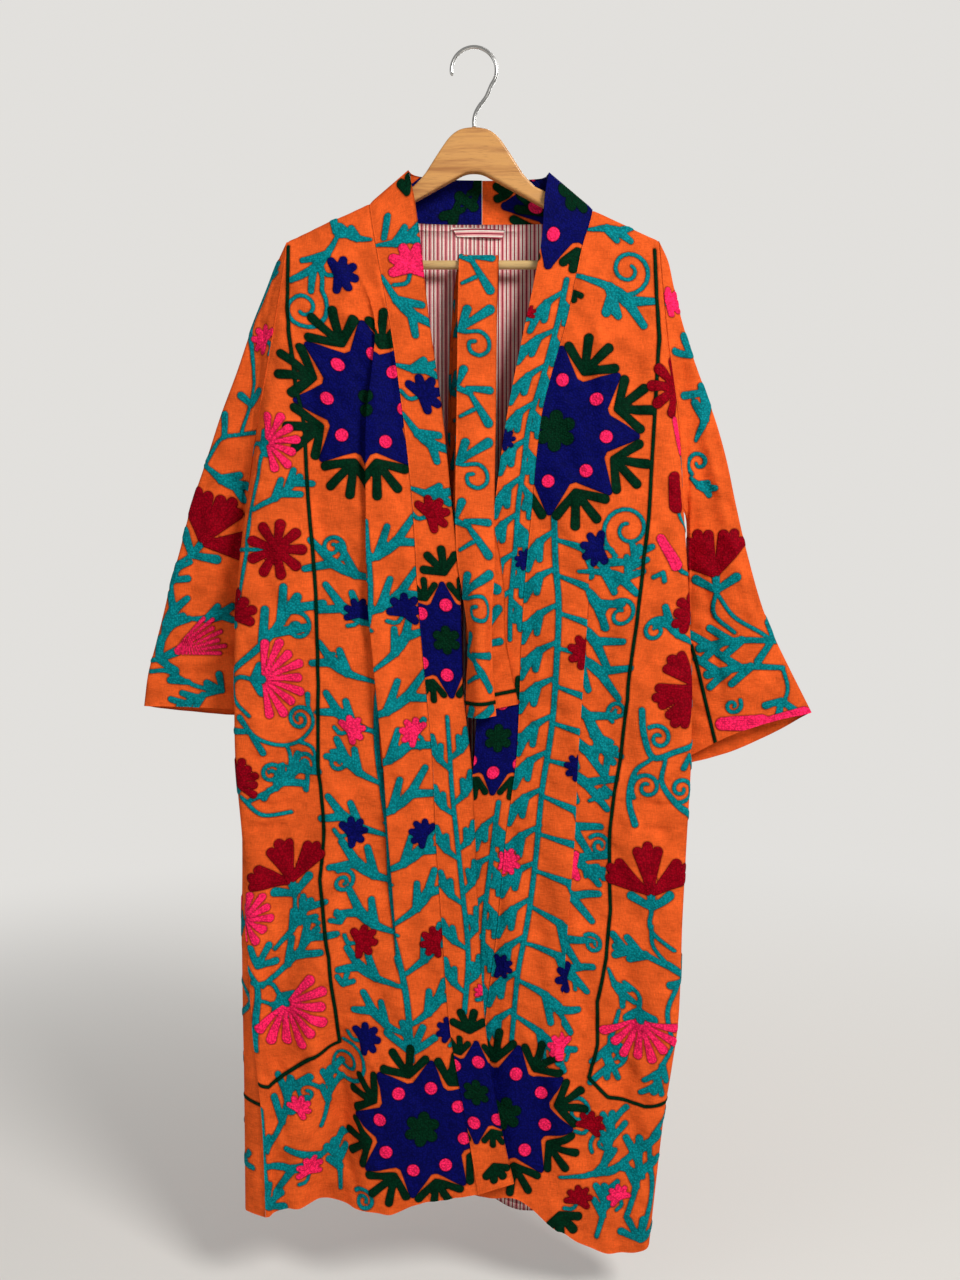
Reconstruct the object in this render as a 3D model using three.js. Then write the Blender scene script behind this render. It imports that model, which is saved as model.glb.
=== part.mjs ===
// Long open robe of the kimono kind, cut as straight panels with a standing collar band,
// hung with its own belt on a wooden clothes hanger. Millimetres, +Z up, the front faces -Y.
// The origin is the inside of the top of the hook, the point that the hanger hangs from.
import * as THREE from 'three';

// Cloth
const CLOTH = 2.0;          // face cloth, stitched ground and lining together
const BAND = 2.4;           // collar band, folded double
const BELT = 2.0;
const LINING = 1.0;
const LOOP = 1.6;
const SEAM = 0.3;           // gap between two pieces at a seam
const BELT_WIDTH = 42;

// Hanger
const WOOD = 12;            // thickness of the wooden arms, front to back
const ARM_END = 190;        // half length of the arms
const ARM_SLOPE = 0.455;    // fall of the arm's upper edge
const NECK = { x: 65.4, z: -145.3 };   // where the arm's upper edge leaves the neck
const BAR_Z = -226.8;
const BAR_R = 4.75;
const FOOT_X = 176;         // inner face of the foot that takes the bar
const HOOK_R = 24;          // hook bend, to the middle of the wire
const WIRE_R = 2;

const table = (names, rows) => {
  const keys = names.split(' ');
  return rows.map((row) => Object.fromEntries(keys.map((k, i) => [k, row[i]])));
};

// A row for each section of the right front (worn on the right, at -X), from the shoulder ridge
// to the hem. seam: band seam; free: edge of the band; tuck: overlapping fold, 0 to 1 strong;
// midY: the panel's face; turn and side: where it rounds away, and its outer edge.
const FRONT_RIGHT = table(
  'seamX seamY seamZ freeX freeY freeZ tuckX tuck midY turnX turnY sideX sideY sideZ',
  [
    [-111.0, 0.0, -163.1, -69.7, 0.0, -127.6, -150, 0, 0, -190, 0, -199, 0, -203.2],
    [-111.0, -6.2, -165.3, -68.8, -6.4, -131, -150, 0, -6.2, -190.5, -6.2, -200, -6.2, -205.6],
    [-110.6, -8.8, -171, -67.6, -9.2, -139, -149, 0, -8.8, -191, -8.8, -200.6, -8.8, -211],
    [-108.8, -10.8, -184, -64.0, -11.6, -156, -146, 0, -11, -192, -11, -201.3, -10.8, -223],
    [-104.3, -14, -211, -57.5, -15, -200, -137, 0, -15, -195, -15, -205.5, -13, -252],
    [-90.3, -19.5, -288, -47.8, -20, -286, -109, 0.5, -21, -205, -20, -216.4, -15, -316],
    [-76.5, -24, -384, -34.0, -25, -384, -113.7, 1, -26, -220, -24, -231.3, -13, -396],
    [-65.9, -28, -482, -23.9, -29, -482, -114.8, 1, -30, -240, -22, -247, 2, -486],
    [-59.6, -32, -586, -14.4, -33, -586, -112.8, 1, -34, -252, -28, -255, -12, -587],
    [-51.1, -36, -682, -11.7, -37, -682, -104.4, 1, -37, -254.5, -30, -257.3, -14, -682],
    [-44.3, -39, -757, -3.2, -40, -757, -97, 1, -39, -254, -32, -256.8, -17, -757],
    [-41.1, -42, -835, 1.1, -43, -835, -91.8, 1, -41.5, -247.5, -34, -250.5, -22, -835],
    [-34.3, -44, -938, 5.3, -45, -938, -87.8, 0.5, -43, -236, -42, -244.6, -38, -939],
    [-25.8, -46, -1048, 12.8, -47, -1048, -86, 0, -44.5, -230, -43.5, -238.3, -42, -1050],
    [-8.7, -46, -1147, 27.9, -47, -1147, -88, 0, -45.5, -221, -45, -229, -43.5, -1149],
    [4.2, -45, -1229, 43.2, -46, -1216, -92, 0, -46, -218, -45.5, -226, -44, -1255],
  ]);
const FRONT_LEFT = table(
  'seamX seamY seamZ freeX freeY freeZ tuckX tuck midY turnX turnY sideX sideY sideZ',
  [
    [126.4, 0.0, -170.2, 79.2, 0.0, -130.7, 160, 0, 0, 187, 0, 196.5, 0, -202.1],
    [126.0, -6.2, -172.4, 78.6, -6.4, -134, 160, 0, -6.2, 188, -6.2, 197.5, -6.2, -204.6],
    [125.0, -8.8, -178, 77.6, -9.2, -142, 160, 0, -8.8, 189, -8.8, 198, -8.8, -210],
    [121.6, -10.8, -190, 75.2, -11.6, -158, 158, 0, -11, 190, -11, 199, -10.8, -226],
    [115.0, -13, -211, 72.0, -14, -203, 155, 0, -14, 193, -15, 201.5, -13, -257],
    [99.0, -17, -288, 55.4, -18, -288, 145, 0, -20, 199, -20, 207.3, -15, -316],
    [73.6, -19, -383, 36.3, -20, -383, 138, 0, -24, 209, -24, 218.8, -13, -395],
    [62.6, -21, -482, 22.4, -22, -482, 130, 0, -27, 219, -22, 227, 2, -486],
    [53.1, -23, -586, 11.8, -24, -586, 124.4, 0.6, -31, 227, -28, 230.8, -12, -587],
    [48.9, -25, -683, 4.2, -25.5, -683, 116, 1, -34, 230.5, -30, 233.5, -14, -682],
    [45.2, -27, -759, -0.1, -27.5, -759, 111, 1, -36, 230.5, -32, 233.8, -16, -757],
    [34.5, -28, -838, -8.7, -28.5, -838, 108, 1, -38, 226.5, -34, 230, -18, -835],
    [24.8, -28.5, -943, -19.6, -29, -943, 101.7, 0.8, -40, 221.5, -36, 225.2, -20, -939],
    [10.7, -29, -1055, -32.8, -29.5, -1055, 96.7, 0.4, -42, 217.5, -37, 221.5, -21, -1049],
    [3.1, -29, -1155, -40.6, -29.5, -1155, 91.6, 0, -43, 203, -38, 207.2, -22, -1148],
    [-4.6, -29, -1236, -48.4, -29.5, -1236, 86.4, 0, -43, 187.5, -39, 192, -23, -1292],
  ]);
// The back's own rows: its outer turn and near-side depth at either side, and its middle.
const BACK = table('edgeY turnRX turnRY nearY midY turnLX turnLY', [
  [0, -190, 0, 0, 0, 187, 0],
  [6.2, -190.5, 6.2, 6.2, 6.2, 188, 6.2],
  [8.8, -191, 8.8, 8.8, 8.8, 189, 8.8],
  [10.8, -192, 10.8, 10.8, 11, 190, 10.8],
  [12, -198, 12, 12, 20, 193, 12],
  [13, -210, 13, 13.5, 20, 200, 13],
  [12, -225, 12, 13, 19, 212, 12],
  [2, -242, 3, 6, 19, 222, 3],
  [-12, -252.5, -2, 7, 20, 228.5, -2],
  [-14, -255.5, -3, 8, 21, 231.5, -3],
  [-17, -255, -6, 9, 22, 231.5, -6],
  [-22, -251.5, -12, 9, 23, 228.5, -8],
  [-38, -251, -24, 6, 24, 223.5, -9],
  [-42, -251, -25, 4, 25, 219.5, -9],
  [-43.5, -250.6, -26, 3, 26, 205.5, -9],
  [-44, -250.5, -27, 3, 27, 190.5, -9],
]);
// Back neck: the seam of the collar band, and the band's upper edge, from the right shoulder.
const NECKLINE = table('seamX seamY seamZ freeX freeY freeZ', [
  [-111, 0, -163.1, -69.7, 0, -127.6],
  [-109, 7.8, -164.6, -67.5, 8.2, -128],
  [-95, 14.5, -174, -62, 13.5, -128.5],
  [-65, 19.5, -177, -47, 19, -129.5],
  [-30, 22, -178, -24, 22, -130.5],
  [8.6, 22.5, -178, 8.6, 22.5, -131],
  [45, 22, -178, 36, 22, -131],
  [78, 19.5, -178, 59, 19, -131],
  [108, 14.5, -177.5, 73, 13.5, -131],
  [124.5, 7.8, -171.6, 78, 8.2, -131],
  [126.4, 0, -170.2, 79.2, 0, -130.7],
]);
// Height of the cut edge at the hem, across each panel.
const HEM_RIGHT = table('x z', [
  [-250, -1256], [-226, -1255], [-206, -1248], [-172, -1244], [-148, -1245], [-123, -1247],
  [-110, -1249], [-92, -1250], [-64, -1241], [-40, -1236], [4, -1229],
]);
const HEM_LEFT = table('x z', [
  [-5, -1236], [50, -1233], [62, -1247], [74, -1261], [94, -1270], [117, -1284], [132, -1291],
  [148, -1295], [173, -1297], [192, -1292],
]);
const HEM_BACK = table('x z', [
  [-250, -1256], [-150, -1260], [0, -1267], [74, -1284], [130, -1292], [192, -1292],
]);
// Long soft folds: a ridge (depth below 0, towards the viewer) or trough along a line.
const FOLDS_RIGHT = table('topX topZ lowX lowZ width depth', [
  [-128, -1000, -158, -1250, 22, 26],
  [-190, -560, -205, -860, 16, 7],
  [-165, -300, -180, -620, 18, 5],
]);
const FOLDS_LEFT = table('topX topZ lowX lowZ width depth', [
  [150, -560, 140, -900, 18, 6],
  [165, -900, 168, -1290, 16, 8],
  [60, -640, 72, -1150, 14, 5],
]);
const FOLDS_BACK = table('topX topZ lowX lowZ width depth', [
  [-160, -500, -190, -1260, 22, -6],
  [-60, -420, -85, -1265, 24, 12],
  [50, -450, 40, -1270, 22, -9],
  [130, -520, 135, -1290, 20, 12],
]);
// Sleeves, a row for each ring: the upper and outer edge, the lower edge, half the depth.
const SLEEVE_RIGHT = table('upX upY upZ lowX lowY lowZ deep', [
  [-209, 0, -221, -253, 9, -497, 11],
  [-221.9, 0, -253, -256, 13, -515, 10],
  [-240, 2, -296, -255.5, 17, -546, 9],
  [-256, 4, -340, -251, 20, -578, 9],
  [-274, 5, -386, -247, 23, -606, 8],
  [-291, 7, -435, -242, 25, -632, 8],
  [-308.8, 9, -485, -236, 26.5, -655, 8],
  [-321.7, 10, -532, -230, 28, -676, 8],
  [-333, 11, -570, -225.5, 29, -690, 7],
  [-341.8, 12, -604, -221.5, 29.5, -700, 7],
  [-351, 12.5, -638, -218, 30, -708, 7],
  [-359.5, 13, -669, -216, 30.5, -713, 8],
  [-364.8, 14, -704.6, -214.6, 31, -717.6, 9],
]);
const SLEEVE_LEFT = table('upX upY upZ lowX lowY lowZ deep', [
  [207, 0, -221, 233, 9, -497, 11],
  [214, 0, -250, 236.5, 13, -515, 10],
  [223, 1, -285, 238, 17, -546, 9],
  [235, 2, -322, 237.5, 20, -580, 9],
  [249.4, 4, -360, 236, 23, -610, 8],
  [263, 5, -397, 234.5, 25, -640, 8],
  [274.4, 6, -436, 232.5, 26.5, -668, 8],
  [285.2, 8, -483, 230, 28, -694, 8],
  [297, 9, -531, 227.5, 29, -718, 7],
  [316.8, 11, -597, 225, 29.5, -738, 7],
  [331, 12, -630, 222.5, 30, -753, 7],
  [345, 13, -658, 220, 30.5, -765, 8],
  [373, 14, -712, 217.8, 31, -776, 9],
]);
const CUFF_LIFT = { right: 4, left: 11 };   // how much higher the cuff's front layer ends

// The belt, folded in half and hung over the bar: from one end up, over, down behind to the
// loop, and back over the bar to the other end. fold: how far it is folded lengthwise, degrees.
const BELT_PATH = table('x y z fold', [
  [7.5, -47.8, -711, 48], [6.3, -49.4, -672, 56], [6.4, -50.6, -629, 64], [4.4, -48.6, -586, 52],
  [2.6, -39.2, -543, 20], [1.0, -35.4, -510, 16], [1.0, -31.6, -480, 12], [2.6, -20.4, -372, 6],
  [3.8, -14.8, -272, 2], [4.5, -10.6, -240, 0], [4.8, -9.4, -227, 0], [4.9, -6.6, -220.2, 0],
  [4.6, 0, -217.4, 0], [3.4, 6.6, -220.2, 0], [2.6, 9.4, -227, 0], [-1, 10, -258, 0],
  [-6, 10, -330, 0], [-8, 10.2, -450, 0], [-7, 10.2, -545, 0], [-6, 9, -562, 0],
  [-5.6, 6.6, -566, 0], [-5.2, 4.2, -562, 0], [-5, 3.2, -545, 0], [-5, 4, -450, 0],
  [-3, 5, -330, 0], [1, 6.6, -258, 0], [3, 6.9, -227, 0], [3.6, 4.9, -221.9, 0],
  [4.6, 0, -219.9, 0], [5.4, -4.9, -221.9, 0], [5.4, -6.9, -227, 0], [5, -7.6, -240, 0],
  [4, -10.2, -272, 0], [2.2, -14.4, -372, 0], [-0.8, -23.4, -480, 0], [0.6, -26.2, -510, 0],
  [7, -27.6, -543, 0], [12, -28.2, -586, 0], [13, -28.5, -629, 0], [21, -29, -672, 0],
  [27, -29.6, -702, 0],
]);

const V = (x, y, z) => new THREE.Vector3(x, y, z);
const mix = (a, b, t) => a + (b - a) * t;
const smooth = (t) => { const c = Math.min(1, Math.max(0, t)); return c * c * (3 - 2 * c); };
const steps = (counts) => counts.flatMap((n, i) => Array.from({ length: n }, (_, k) => i + k / n))
  .concat(counts.length);
const through = (points, at) => {
  const curve = new THREE.CatmullRomCurve3(points, false, 'centripetal');
  return at.map((t) => curve.getPoint(Math.min(1, t / (points.length - 1))));
};
const heightAt = (line, x) => {
  let i = 0;
  while (i < line.length - 2 && x > line[i + 1].x) i += 1;
  const t = smooth((x - line[i].x) / (line[i + 1].x - line[i].x));
  return mix(line[i].z, line[i + 1].z, t);
};

// A quilt of points: rows down, columns across, with a normal at each point.
const grid = (p, loop = false) => {
  const n = p.map((row, i) => row.map((q, j) => {
    const w = row.length;
    const right = loop ? row[(j + 1) % w] : row[Math.min(j + 1, w - 1)];
    const left = loop ? row[(j + w - 1) % w] : row[Math.max(j - 1, 0)];
    const down = p[Math.min(i + 1, p.length - 1)][j];
    const up = p[Math.max(i - 1, 0)][j];
    return V(0, 0, 0).crossVectors(right.clone().sub(left), down.clone().sub(up)).normalize();
  }));
  return { p, n, loop, shift: p.map((row) => row.map(() => V(0, 0, 0))) };
};
const flip = (g) => { g.n.forEach((row) => row.forEach((v) => v.negate())); return g; };
const share = (...refs) => {
  const sum = V(0, 0, 0);
  refs.forEach(([g, i, j]) => sum.add(g.n[i][j]));
  sum.normalize();
  refs.forEach(([g, i, j]) => g.n[i][j].copy(sum));
};
const part = (g, i, j, i2, j2, gap = SEAM) => {
  const away = g.p[i2][j2].clone().sub(g.p[i][j]);
  away.addScaledVector(g.n[i][j], -away.dot(g.n[i][j])).normalize();
  g.shift[i][j].addScaledVector(away, gap / 2);
};
const partSide = (g, j, inward, from = 0, to = g.p.length - 1) => {
  for (let i = from; i <= to; i += 1) part(g, i, j, i, j + inward);
};
const partRow = (g, i, inward, from = 0, to = g.p[0].length - 1) => {
  for (let j = from; j <= to; j += 1) part(g, i, j, i + inward, j);
};

// A wall of even thickness about the middle points, closed at its edges.
const wall = (g, thick) => {
  const rows = g.p.length;
  const cols = g.p[0].length;
  const position = [];
  [1, -1].forEach((side) => g.p.forEach((row, i) => row.forEach((q, j) => {
    const at = q.clone().add(g.shift[i][j]).addScaledVector(g.n[i][j], (side * thick) / 2);
    position.push(at.x, at.y, at.z);
  })));
  const index = [];
  const id = (side, i, j) => side * rows * cols + i * cols + (j % cols);
  const quad = (a, b, c, d) => index.push(a, b, c, a, c, d);
  const wide = g.loop ? cols : cols - 1;
  for (let i = 0; i < rows - 1; i += 1) {
    for (let j = 0; j < wide; j += 1) {
      quad(id(0, i, j), id(0, i, j + 1), id(0, i + 1, j + 1), id(0, i + 1, j));
      quad(id(1, i, j), id(1, i + 1, j), id(1, i + 1, j + 1), id(1, i, j + 1));
    }
  }
  for (let j = 0; j < wide; j += 1) {
    quad(id(0, 0, j), id(1, 0, j), id(1, 0, j + 1), id(0, 0, j + 1));
    quad(id(0, rows - 1, j), id(0, rows - 1, j + 1), id(1, rows - 1, j + 1), id(1, rows - 1, j));
  }
  if (!g.loop) {
    for (let i = 0; i < rows - 1; i += 1) {
      quad(id(0, i, 0), id(0, i + 1, 0), id(1, i + 1, 0), id(1, i, 0));
      quad(id(0, i, cols - 1), id(1, i, cols - 1), id(1, i + 1, cols - 1), id(0, i + 1, cols - 1));
    }
  }
  const geometry = new THREE.BufferGeometry();
  geometry.setAttribute('position', new THREE.Float32BufferAttribute(position, 3));
  geometry.setIndex(index);
  const a = V(0, 0, 0); const b = V(0, 0, 0); const c = V(0, 0, 0);
  let volume = 0;
  for (let k = 0; k < index.length; k += 3) {
    a.fromArray(position, 3 * index[k]);
    b.fromArray(position, 3 * index[k + 1]);
    c.fromArray(position, 3 * index[k + 2]);
    volume += a.dot(b.cross(c)) / 6;
  }
  if (volume < 0) {
    for (let k = 0; k < index.length; k += 3) {
      [index[k + 1], index[k + 2]] = [index[k + 2], index[k + 1]];
    }
    geometry.setIndex(index);
  }
  geometry.computeVertexNormals();
  return geometry;
};

const ROW_STEPS = steps([1, 1, 1, 1, 2, 2, 2, 2, 2, 2, 2, 2, 2, 2, 2]);
const UNDERARM = 10;         // row of the underarm point, counted in ROW_STEPS
const ACROSS = steps([2, 2, 3, 3, 2, 2, 2, 2]);
const TUCK = { over: 12, step: 8 };

const foldAt = (folds, x, z) => folds.reduce((sum, f) => {
  const t = (z - f.topZ) / (f.lowZ - f.topZ);
  const near = Math.exp(-(((x - mix(f.topX, f.lowX, t)) / f.width) ** 2));
  return sum + f.depth * near * smooth(t * 2.5);
}, 0);

const hemWeight = (z) => Math.max(0, (-835 - z) / 400) ** 2;

// A front panel: control columns across each row, from the band seam out to the side.
const front = (rows, hem, folds) => {
  const out = Math.sign(rows[0].sideX - rows[0].seamX);
  const low = rows[rows.length - 1];
  const control = rows.map((r) => {
    const k = r.tuck;
    const tX = r.tuckX;
    const nearX = r.turnX - out * 28 * smooth((Math.abs(r.turnX - tX) - 20) / 80);
    const edge = tX + out * (8 - 4 * k);
    const xy = [
      [r.seamX, r.seamY],
      [mix(r.seamX, tX, 0.5), mix(r.seamY, r.midY, 0.6)],
      [tX - out * 8 * (1 - k), r.midY - 2 * k],
      [tX - out * TUCK.over * k, r.midY + 3.5 * k],
      [edge, r.midY + TUCK.step * k],
      [mix(edge, nearX, 0.5), r.midY + 3 * k],
      [nearX, mix(r.midY, r.turnY, 0.35)],
      [r.turnX, r.turnY],
      [r.sideX, r.sideY],
    ];
    return xy.map(([x, y]) => {
      const t = (x - r.seamX) / (r.sideX - r.seamX);
      return V(x, y, mix(r.seamZ, r.sideZ, Math.min(1, Math.max(0, t))));
    });
  });
  const columns = control[0].map((_, j) => through(control.map((row) => row[j]), ROW_STEPS));
  return grid(ROW_STEPS.map((_, i) => {
    const line = through(columns.map((column) => column[i]), ACROSS);
    return line.map((q, j) => {
      const t = (q.x - low.seamX) / (low.sideX - low.seamX);
      const cut = heightAt(hem, q.x) - mix(low.seamZ, low.sideZ, t);
      const inside = smooth(j / 3) * smooth((line.length - 1 - j) / 3);
      return V(q.x, q.y + inside * foldAt(folds, q.x, q.z), q.z + inside * hemWeight(q.z) * cut);
    });
  }));
};

const frontRight = front(FRONT_RIGHT, HEM_RIGHT, FOLDS_RIGHT);
const frontLeft = front(FRONT_LEFT, HEM_LEFT, FOLDS_LEFT);
flip(frontLeft);

// The back, from the right side to the left: side, turn, near side, shoulder, eleven points
// along the neck, shoulder, near side, turn, side.
const BACK_SHARE = [0, 0, 0.055, 0.15, 0.225, 0.245, 0.28, 0.345, 0.425, 0.52, 0.6, 0.67, 0.735,
  0.775, 0.8, 0.87, 0.945, 1, 1];
const BACK_STEPS = steps([2, 1, 2, 2, 1, 1, 1, 1, 1, 1, 1, 1, 1, 1, 2, 2, 1, 2]);
const NECK_FALL = [0, 0.1, 0.25, 0.55];
const CORNER_FALL = [0, 0.015, 0.08, 0.3];   // beside the corner, over the arm's rear edge
const NECK_FIRST = 4;
const backControl = BACK.map((b, i) => {
  const r = FRONT_RIGHT[i];
  const l = FRONT_LEFT[i];
  const last = BACK_SHARE.length - 1;
  return BACK_SHARE.map((s, j) => {
    let x = mix(b.turnRX, b.turnLX, s);
    const t = (x - r.sideX) / (l.sideX - r.sideX);
    let z = mix(r.sideZ, l.sideZ, t);
    const nearSide = Math.min(j, last - j);
    let y = nearSide === 2 ? b.nearY : mix(b.nearY, b.midY, smooth((nearSide - 2) / 3));
    if (i < 4 && nearSide >= 1 && nearSide <= 4) {
      const m = j < last / 2 ? r : l;
      x = j < last / 2 ? mix(b.turnRX, m.seamX, [0, 0.3, 0.7, 1][nearSide - 1])
        : mix(b.turnLX, m.seamX, [0, 0.3, 0.7, 1][nearSide - 1]);
      z = mix(m.sideZ, m.seamZ, (x - m.sideX) / (m.seamX - m.sideX));
      y = b.edgeY;
    }
    if (j === 0) [x, y, z] = [r.sideX, b.edgeY, r.sideZ];
    if (j === last) [x, y, z] = [l.sideX, i < 8 ? b.edgeY : l.sideY, l.sideZ];
    if (j === 1) [x, y] = [b.turnRX, b.turnRY];
    if (j === last - 1) [x, y] = [b.turnLX, b.turnLY];
    return V(x, y, z);
  });
});
for (let i = 0; i < 4; i += 1) {
  NECKLINE.forEach((s, k) => {
    if (k === 0 || k === NECKLINE.length - 1) return;
    const low = backControl[4][NECK_FIRST + k];
    const fall = k === 1 || k === NECKLINE.length - 2 ? CORNER_FALL : NECK_FALL;
    backControl[i][NECK_FIRST + k] = V(s.seamX, s.seamY, s.seamZ).lerp(low, fall[i]);
  });
}
const backColumns = BACK_SHARE.map((_, j) => through(backControl.map((row) => row[j]), ROW_STEPS));
const backHemLine = (x) => {
  const r = FRONT_RIGHT[15];
  const l = FRONT_LEFT[15];
  return heightAt(HEM_BACK, x) - mix(r.sideZ, l.sideZ, (x - r.sideX) / (l.sideX - r.sideX));
};
const NECK_COLUMN = 7;       // of the finished back, where its neck edge begins
const NEAR_COLUMN = 3;
const UNDERARM_GAP = 2.0;
const LAST = ROW_STEPS.length - 1;
const BACK_LAST = BACK_STEPS.length - 1;
const FRONT_LAST = ACROSS.length - 1;
const back = grid(ROW_STEPS.map((_, i) => {
  const line = through(backColumns.map((column) => column[i]), BACK_STEPS);
  if (i < 4) {               // straight along the shoulder
    for (let j = NEAR_COLUMN + 1; j < NECK_COLUMN; j += 1) {
      const t = (j - NEAR_COLUMN) / (NECK_COLUMN - NEAR_COLUMN);
      line[j].lerpVectors(line[NEAR_COLUMN], line[NECK_COLUMN], t);
      line[BACK_LAST - j].lerpVectors(line[BACK_LAST - NEAR_COLUMN], line[BACK_LAST - NECK_COLUMN], t);
    }
  }
  if (i >= UNDERARM) {       // the side seams below the arms
    line[0].copy(frontRight.p[i][FRONT_LAST]);
    line[BACK_LAST].copy(frontLeft.p[i][FRONT_LAST]);
  }
  return line.map((q, j) => {
    const inside = smooth(j / 4) * smooth((line.length - 1 - j) / 4);
    return V(q.x, q.y + inside * foldAt(FOLDS_BACK, q.x, q.z),
      q.z + inside * hemWeight(q.z) * backHemLine(q.x));
  });
}));

// Collar band: up the front from the hem to the shoulder, then along the back neck to its join.
const bandStations = (rows, panel, neck) => {
  const free = through(rows.map((r) => V(r.freeX, r.freeY, r.freeZ)), ROW_STEPS);
  const up = panel.p.map((row, i) => [row[0].clone(), free[i]]).reverse();
  const along = neck.slice(1).map((s) => [V(s.seamX, s.seamY, s.seamZ), V(s.freeX, s.freeY, s.freeZ)]);
  return up.concat(along);
};
const band = (stations) => grid(stations.map(([a, b]) => [0, 1 / 3, 2 / 3, 1].map((t) => a.clone().lerp(b, t))));
const MIDDLE = 5;
const bandRight = band(bandStations(FRONT_RIGHT, frontRight, NECKLINE.slice(0, MIDDLE + 1)));
const bandLeft = flip(band(bandStations(FRONT_LEFT, frontLeft, NECKLINE.slice(MIDDLE).reverse())));

// Sleeve: a flattened tube from the armhole, whose ring is the edges of front and back.
const sleeve = (rows, panel, side, lift) => {
  const ring = [];
  for (let i = 0; i <= UNDERARM; i += 1) ring.push(panel.p[i][FRONT_LAST].clone());
  for (let i = UNDERARM - 1; i > 0; i -= 1) ring.push(back.p[i][side].clone());
  const top = ring[0];
  const foot = ring[UNDERARM];
  const shares = ring.map((q) => Math.min(1, Math.max(0, (top.z - q.z) / (top.z - foot.z))));
  const rings = rows.map((r, k) => ring.map((_, j) => {
    const t = shares[j];
    const face = j === 0 || j === UNDERARM ? 0 : (j < UNDERARM ? -1 : 1);
    const bulge = r.deep * Math.sqrt(Math.sin(Math.PI * t));
    const end = smooth((k - rows.length + 4) / 3);
    return V(mix(r.upX, r.lowX, t), mix(r.upY, r.lowY, t) + face * bulge,
      mix(r.upZ, r.lowZ, t) - face * end * lift * Math.sin(Math.PI * t));
  }));
  return grid([ring, ...rings], true);
};
const sleeveRight = flip(sleeve(SLEEVE_RIGHT, frontRight, 0, CUFF_LIFT.right));
const sleeveLeft = sleeve(SLEEVE_LEFT, frontLeft, BACK_LAST, CUFF_LIFT.left);

// Seams: the pieces share a normal there, and draw apart.
[[frontRight, bandRight, NECK_COLUMN], [frontLeft, bandLeft, BACK_LAST - NECK_COLUMN]].forEach(
  ([panel, strip, corner], k) => {
    const side = k === 0 ? 0 : BACK_LAST;
    for (let i = 1; i <= LAST; i += 1) share([panel, i, 0], [strip, LAST - i, 0]);
    share([panel, 0, 0], [strip, LAST, 0], [back, 0, corner]);
    for (let m = 1; m <= 5; m += 1) {
      share([strip, LAST + m, 0], [back, 0, corner + (k === 0 ? m : -m)]);
    }
    partSide(panel, 0, 1);
    partSide(strip, 0, 1);
    partRow(strip, strip.p.length - 1, -1);
    const ridge = V(-(panel.p[0][0].z - panel.p[0][FRONT_LAST].z), 0,
      panel.p[0][0].x - panel.p[0][FRONT_LAST].x).normalize();
    if (ridge.z < 0) ridge.negate();
    for (let j = 1; j <= FRONT_LAST; j += 1) panel.n[0][j].copy(ridge);
    for (let m = 0; m < NECK_COLUMN; m += 1) back.n[0][k === 0 ? m : BACK_LAST - m].copy(ridge);
    partRow(panel, 0, 1);
    for (let i = UNDERARM; i <= LAST; i += 1) {
      share([panel, i, FRONT_LAST], [back, i, side]);
      part(panel, i, FRONT_LAST, i, FRONT_LAST - 1);
      part(back, i, side, i, side + (k === 0 ? 1 : -1));
    }
  });
partRow(back, 0, 1);
[[frontRight, sleeveRight, 0], [frontLeft, sleeveLeft, BACK_LAST]].forEach(([panel, tube, side], k) => {
  share([panel, 0, FRONT_LAST], [back, 0, side], [tube, 0, 0]);
  const inner = side + (k === 0 ? 1 : -1);
  for (let i = 0; i < UNDERARM; i += 1) {
    if (i > 0) share([panel, i, FRONT_LAST], [tube, 0, i]);
    if (i > 0) share([back, i, side], [tube, 0, 2 * UNDERARM - i]);
    part(panel, i, FRONT_LAST, i, FRONT_LAST - 1);
    part(back, i, side, i, inner);
  }
  partRow(tube, 0, 1);
  partRow(tube, 0, 1, UNDERARM + 1);
  [-1, 0, 1].forEach((d) => part(tube, 0, UNDERARM + d, 1, UNDERARM + d, (d ? 1 : 2) * UNDERARM_GAP));
});

// Lining of the back, where it shows at the neck and the hem: the back's points, moved in.
const sampleAt = (g, i, j) => {
  const i0 = Math.min(g.p.length - 2, Math.floor(i));
  const j0 = Math.min(g.p[0].length - 2, Math.floor(j));
  const [a, b] = [i - i0, j - j0];
  const at = (m) => m[i0][j0].clone().multiplyScalar((1 - a) * (1 - b))
    .addScaledVector(m[i0][j0 + 1], (1 - a) * b)
    .addScaledVector(m[i0 + 1][j0], a * (1 - b))
    .addScaledVector(m[i0 + 1][j0 + 1], a * b);
  return { p: at(g.p), n: at(g.n).normalize() };
};
const LINING_IN = CLOTH / 2 + SEAM + LINING / 2;
const LINING_TOP = [3.55, 3.7, 3.85];   // rows of its upper edge below the shoulders
const TURN_IN = 2.2;         // further in where that edge climbs to the neck
const liningColumns = Array.from({ length: BACK_LAST - 3 }, (_, j) => j + 2);
const liningRows = Array.from({ length: LAST - 1 }, (_, i) => i + 1).concat(LAST - 0.12);
const lining = grid(liningRows.map((i, k) => liningColumns.map((j) => {
  const fromSide = Math.min(j, BACK_LAST - j) - NECK_COLUMN;
  const neck = fromSide > 1;
  const s = sampleAt(back, neck || k > 2 ? i : LINING_TOP[k], j);
  const turn = k < 3 && fromSide > -1 && fromSide < 3;
  return s.p.addScaledVector(s.n, -LINING_IN - (turn ? TURN_IN : 0));
})));

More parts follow.
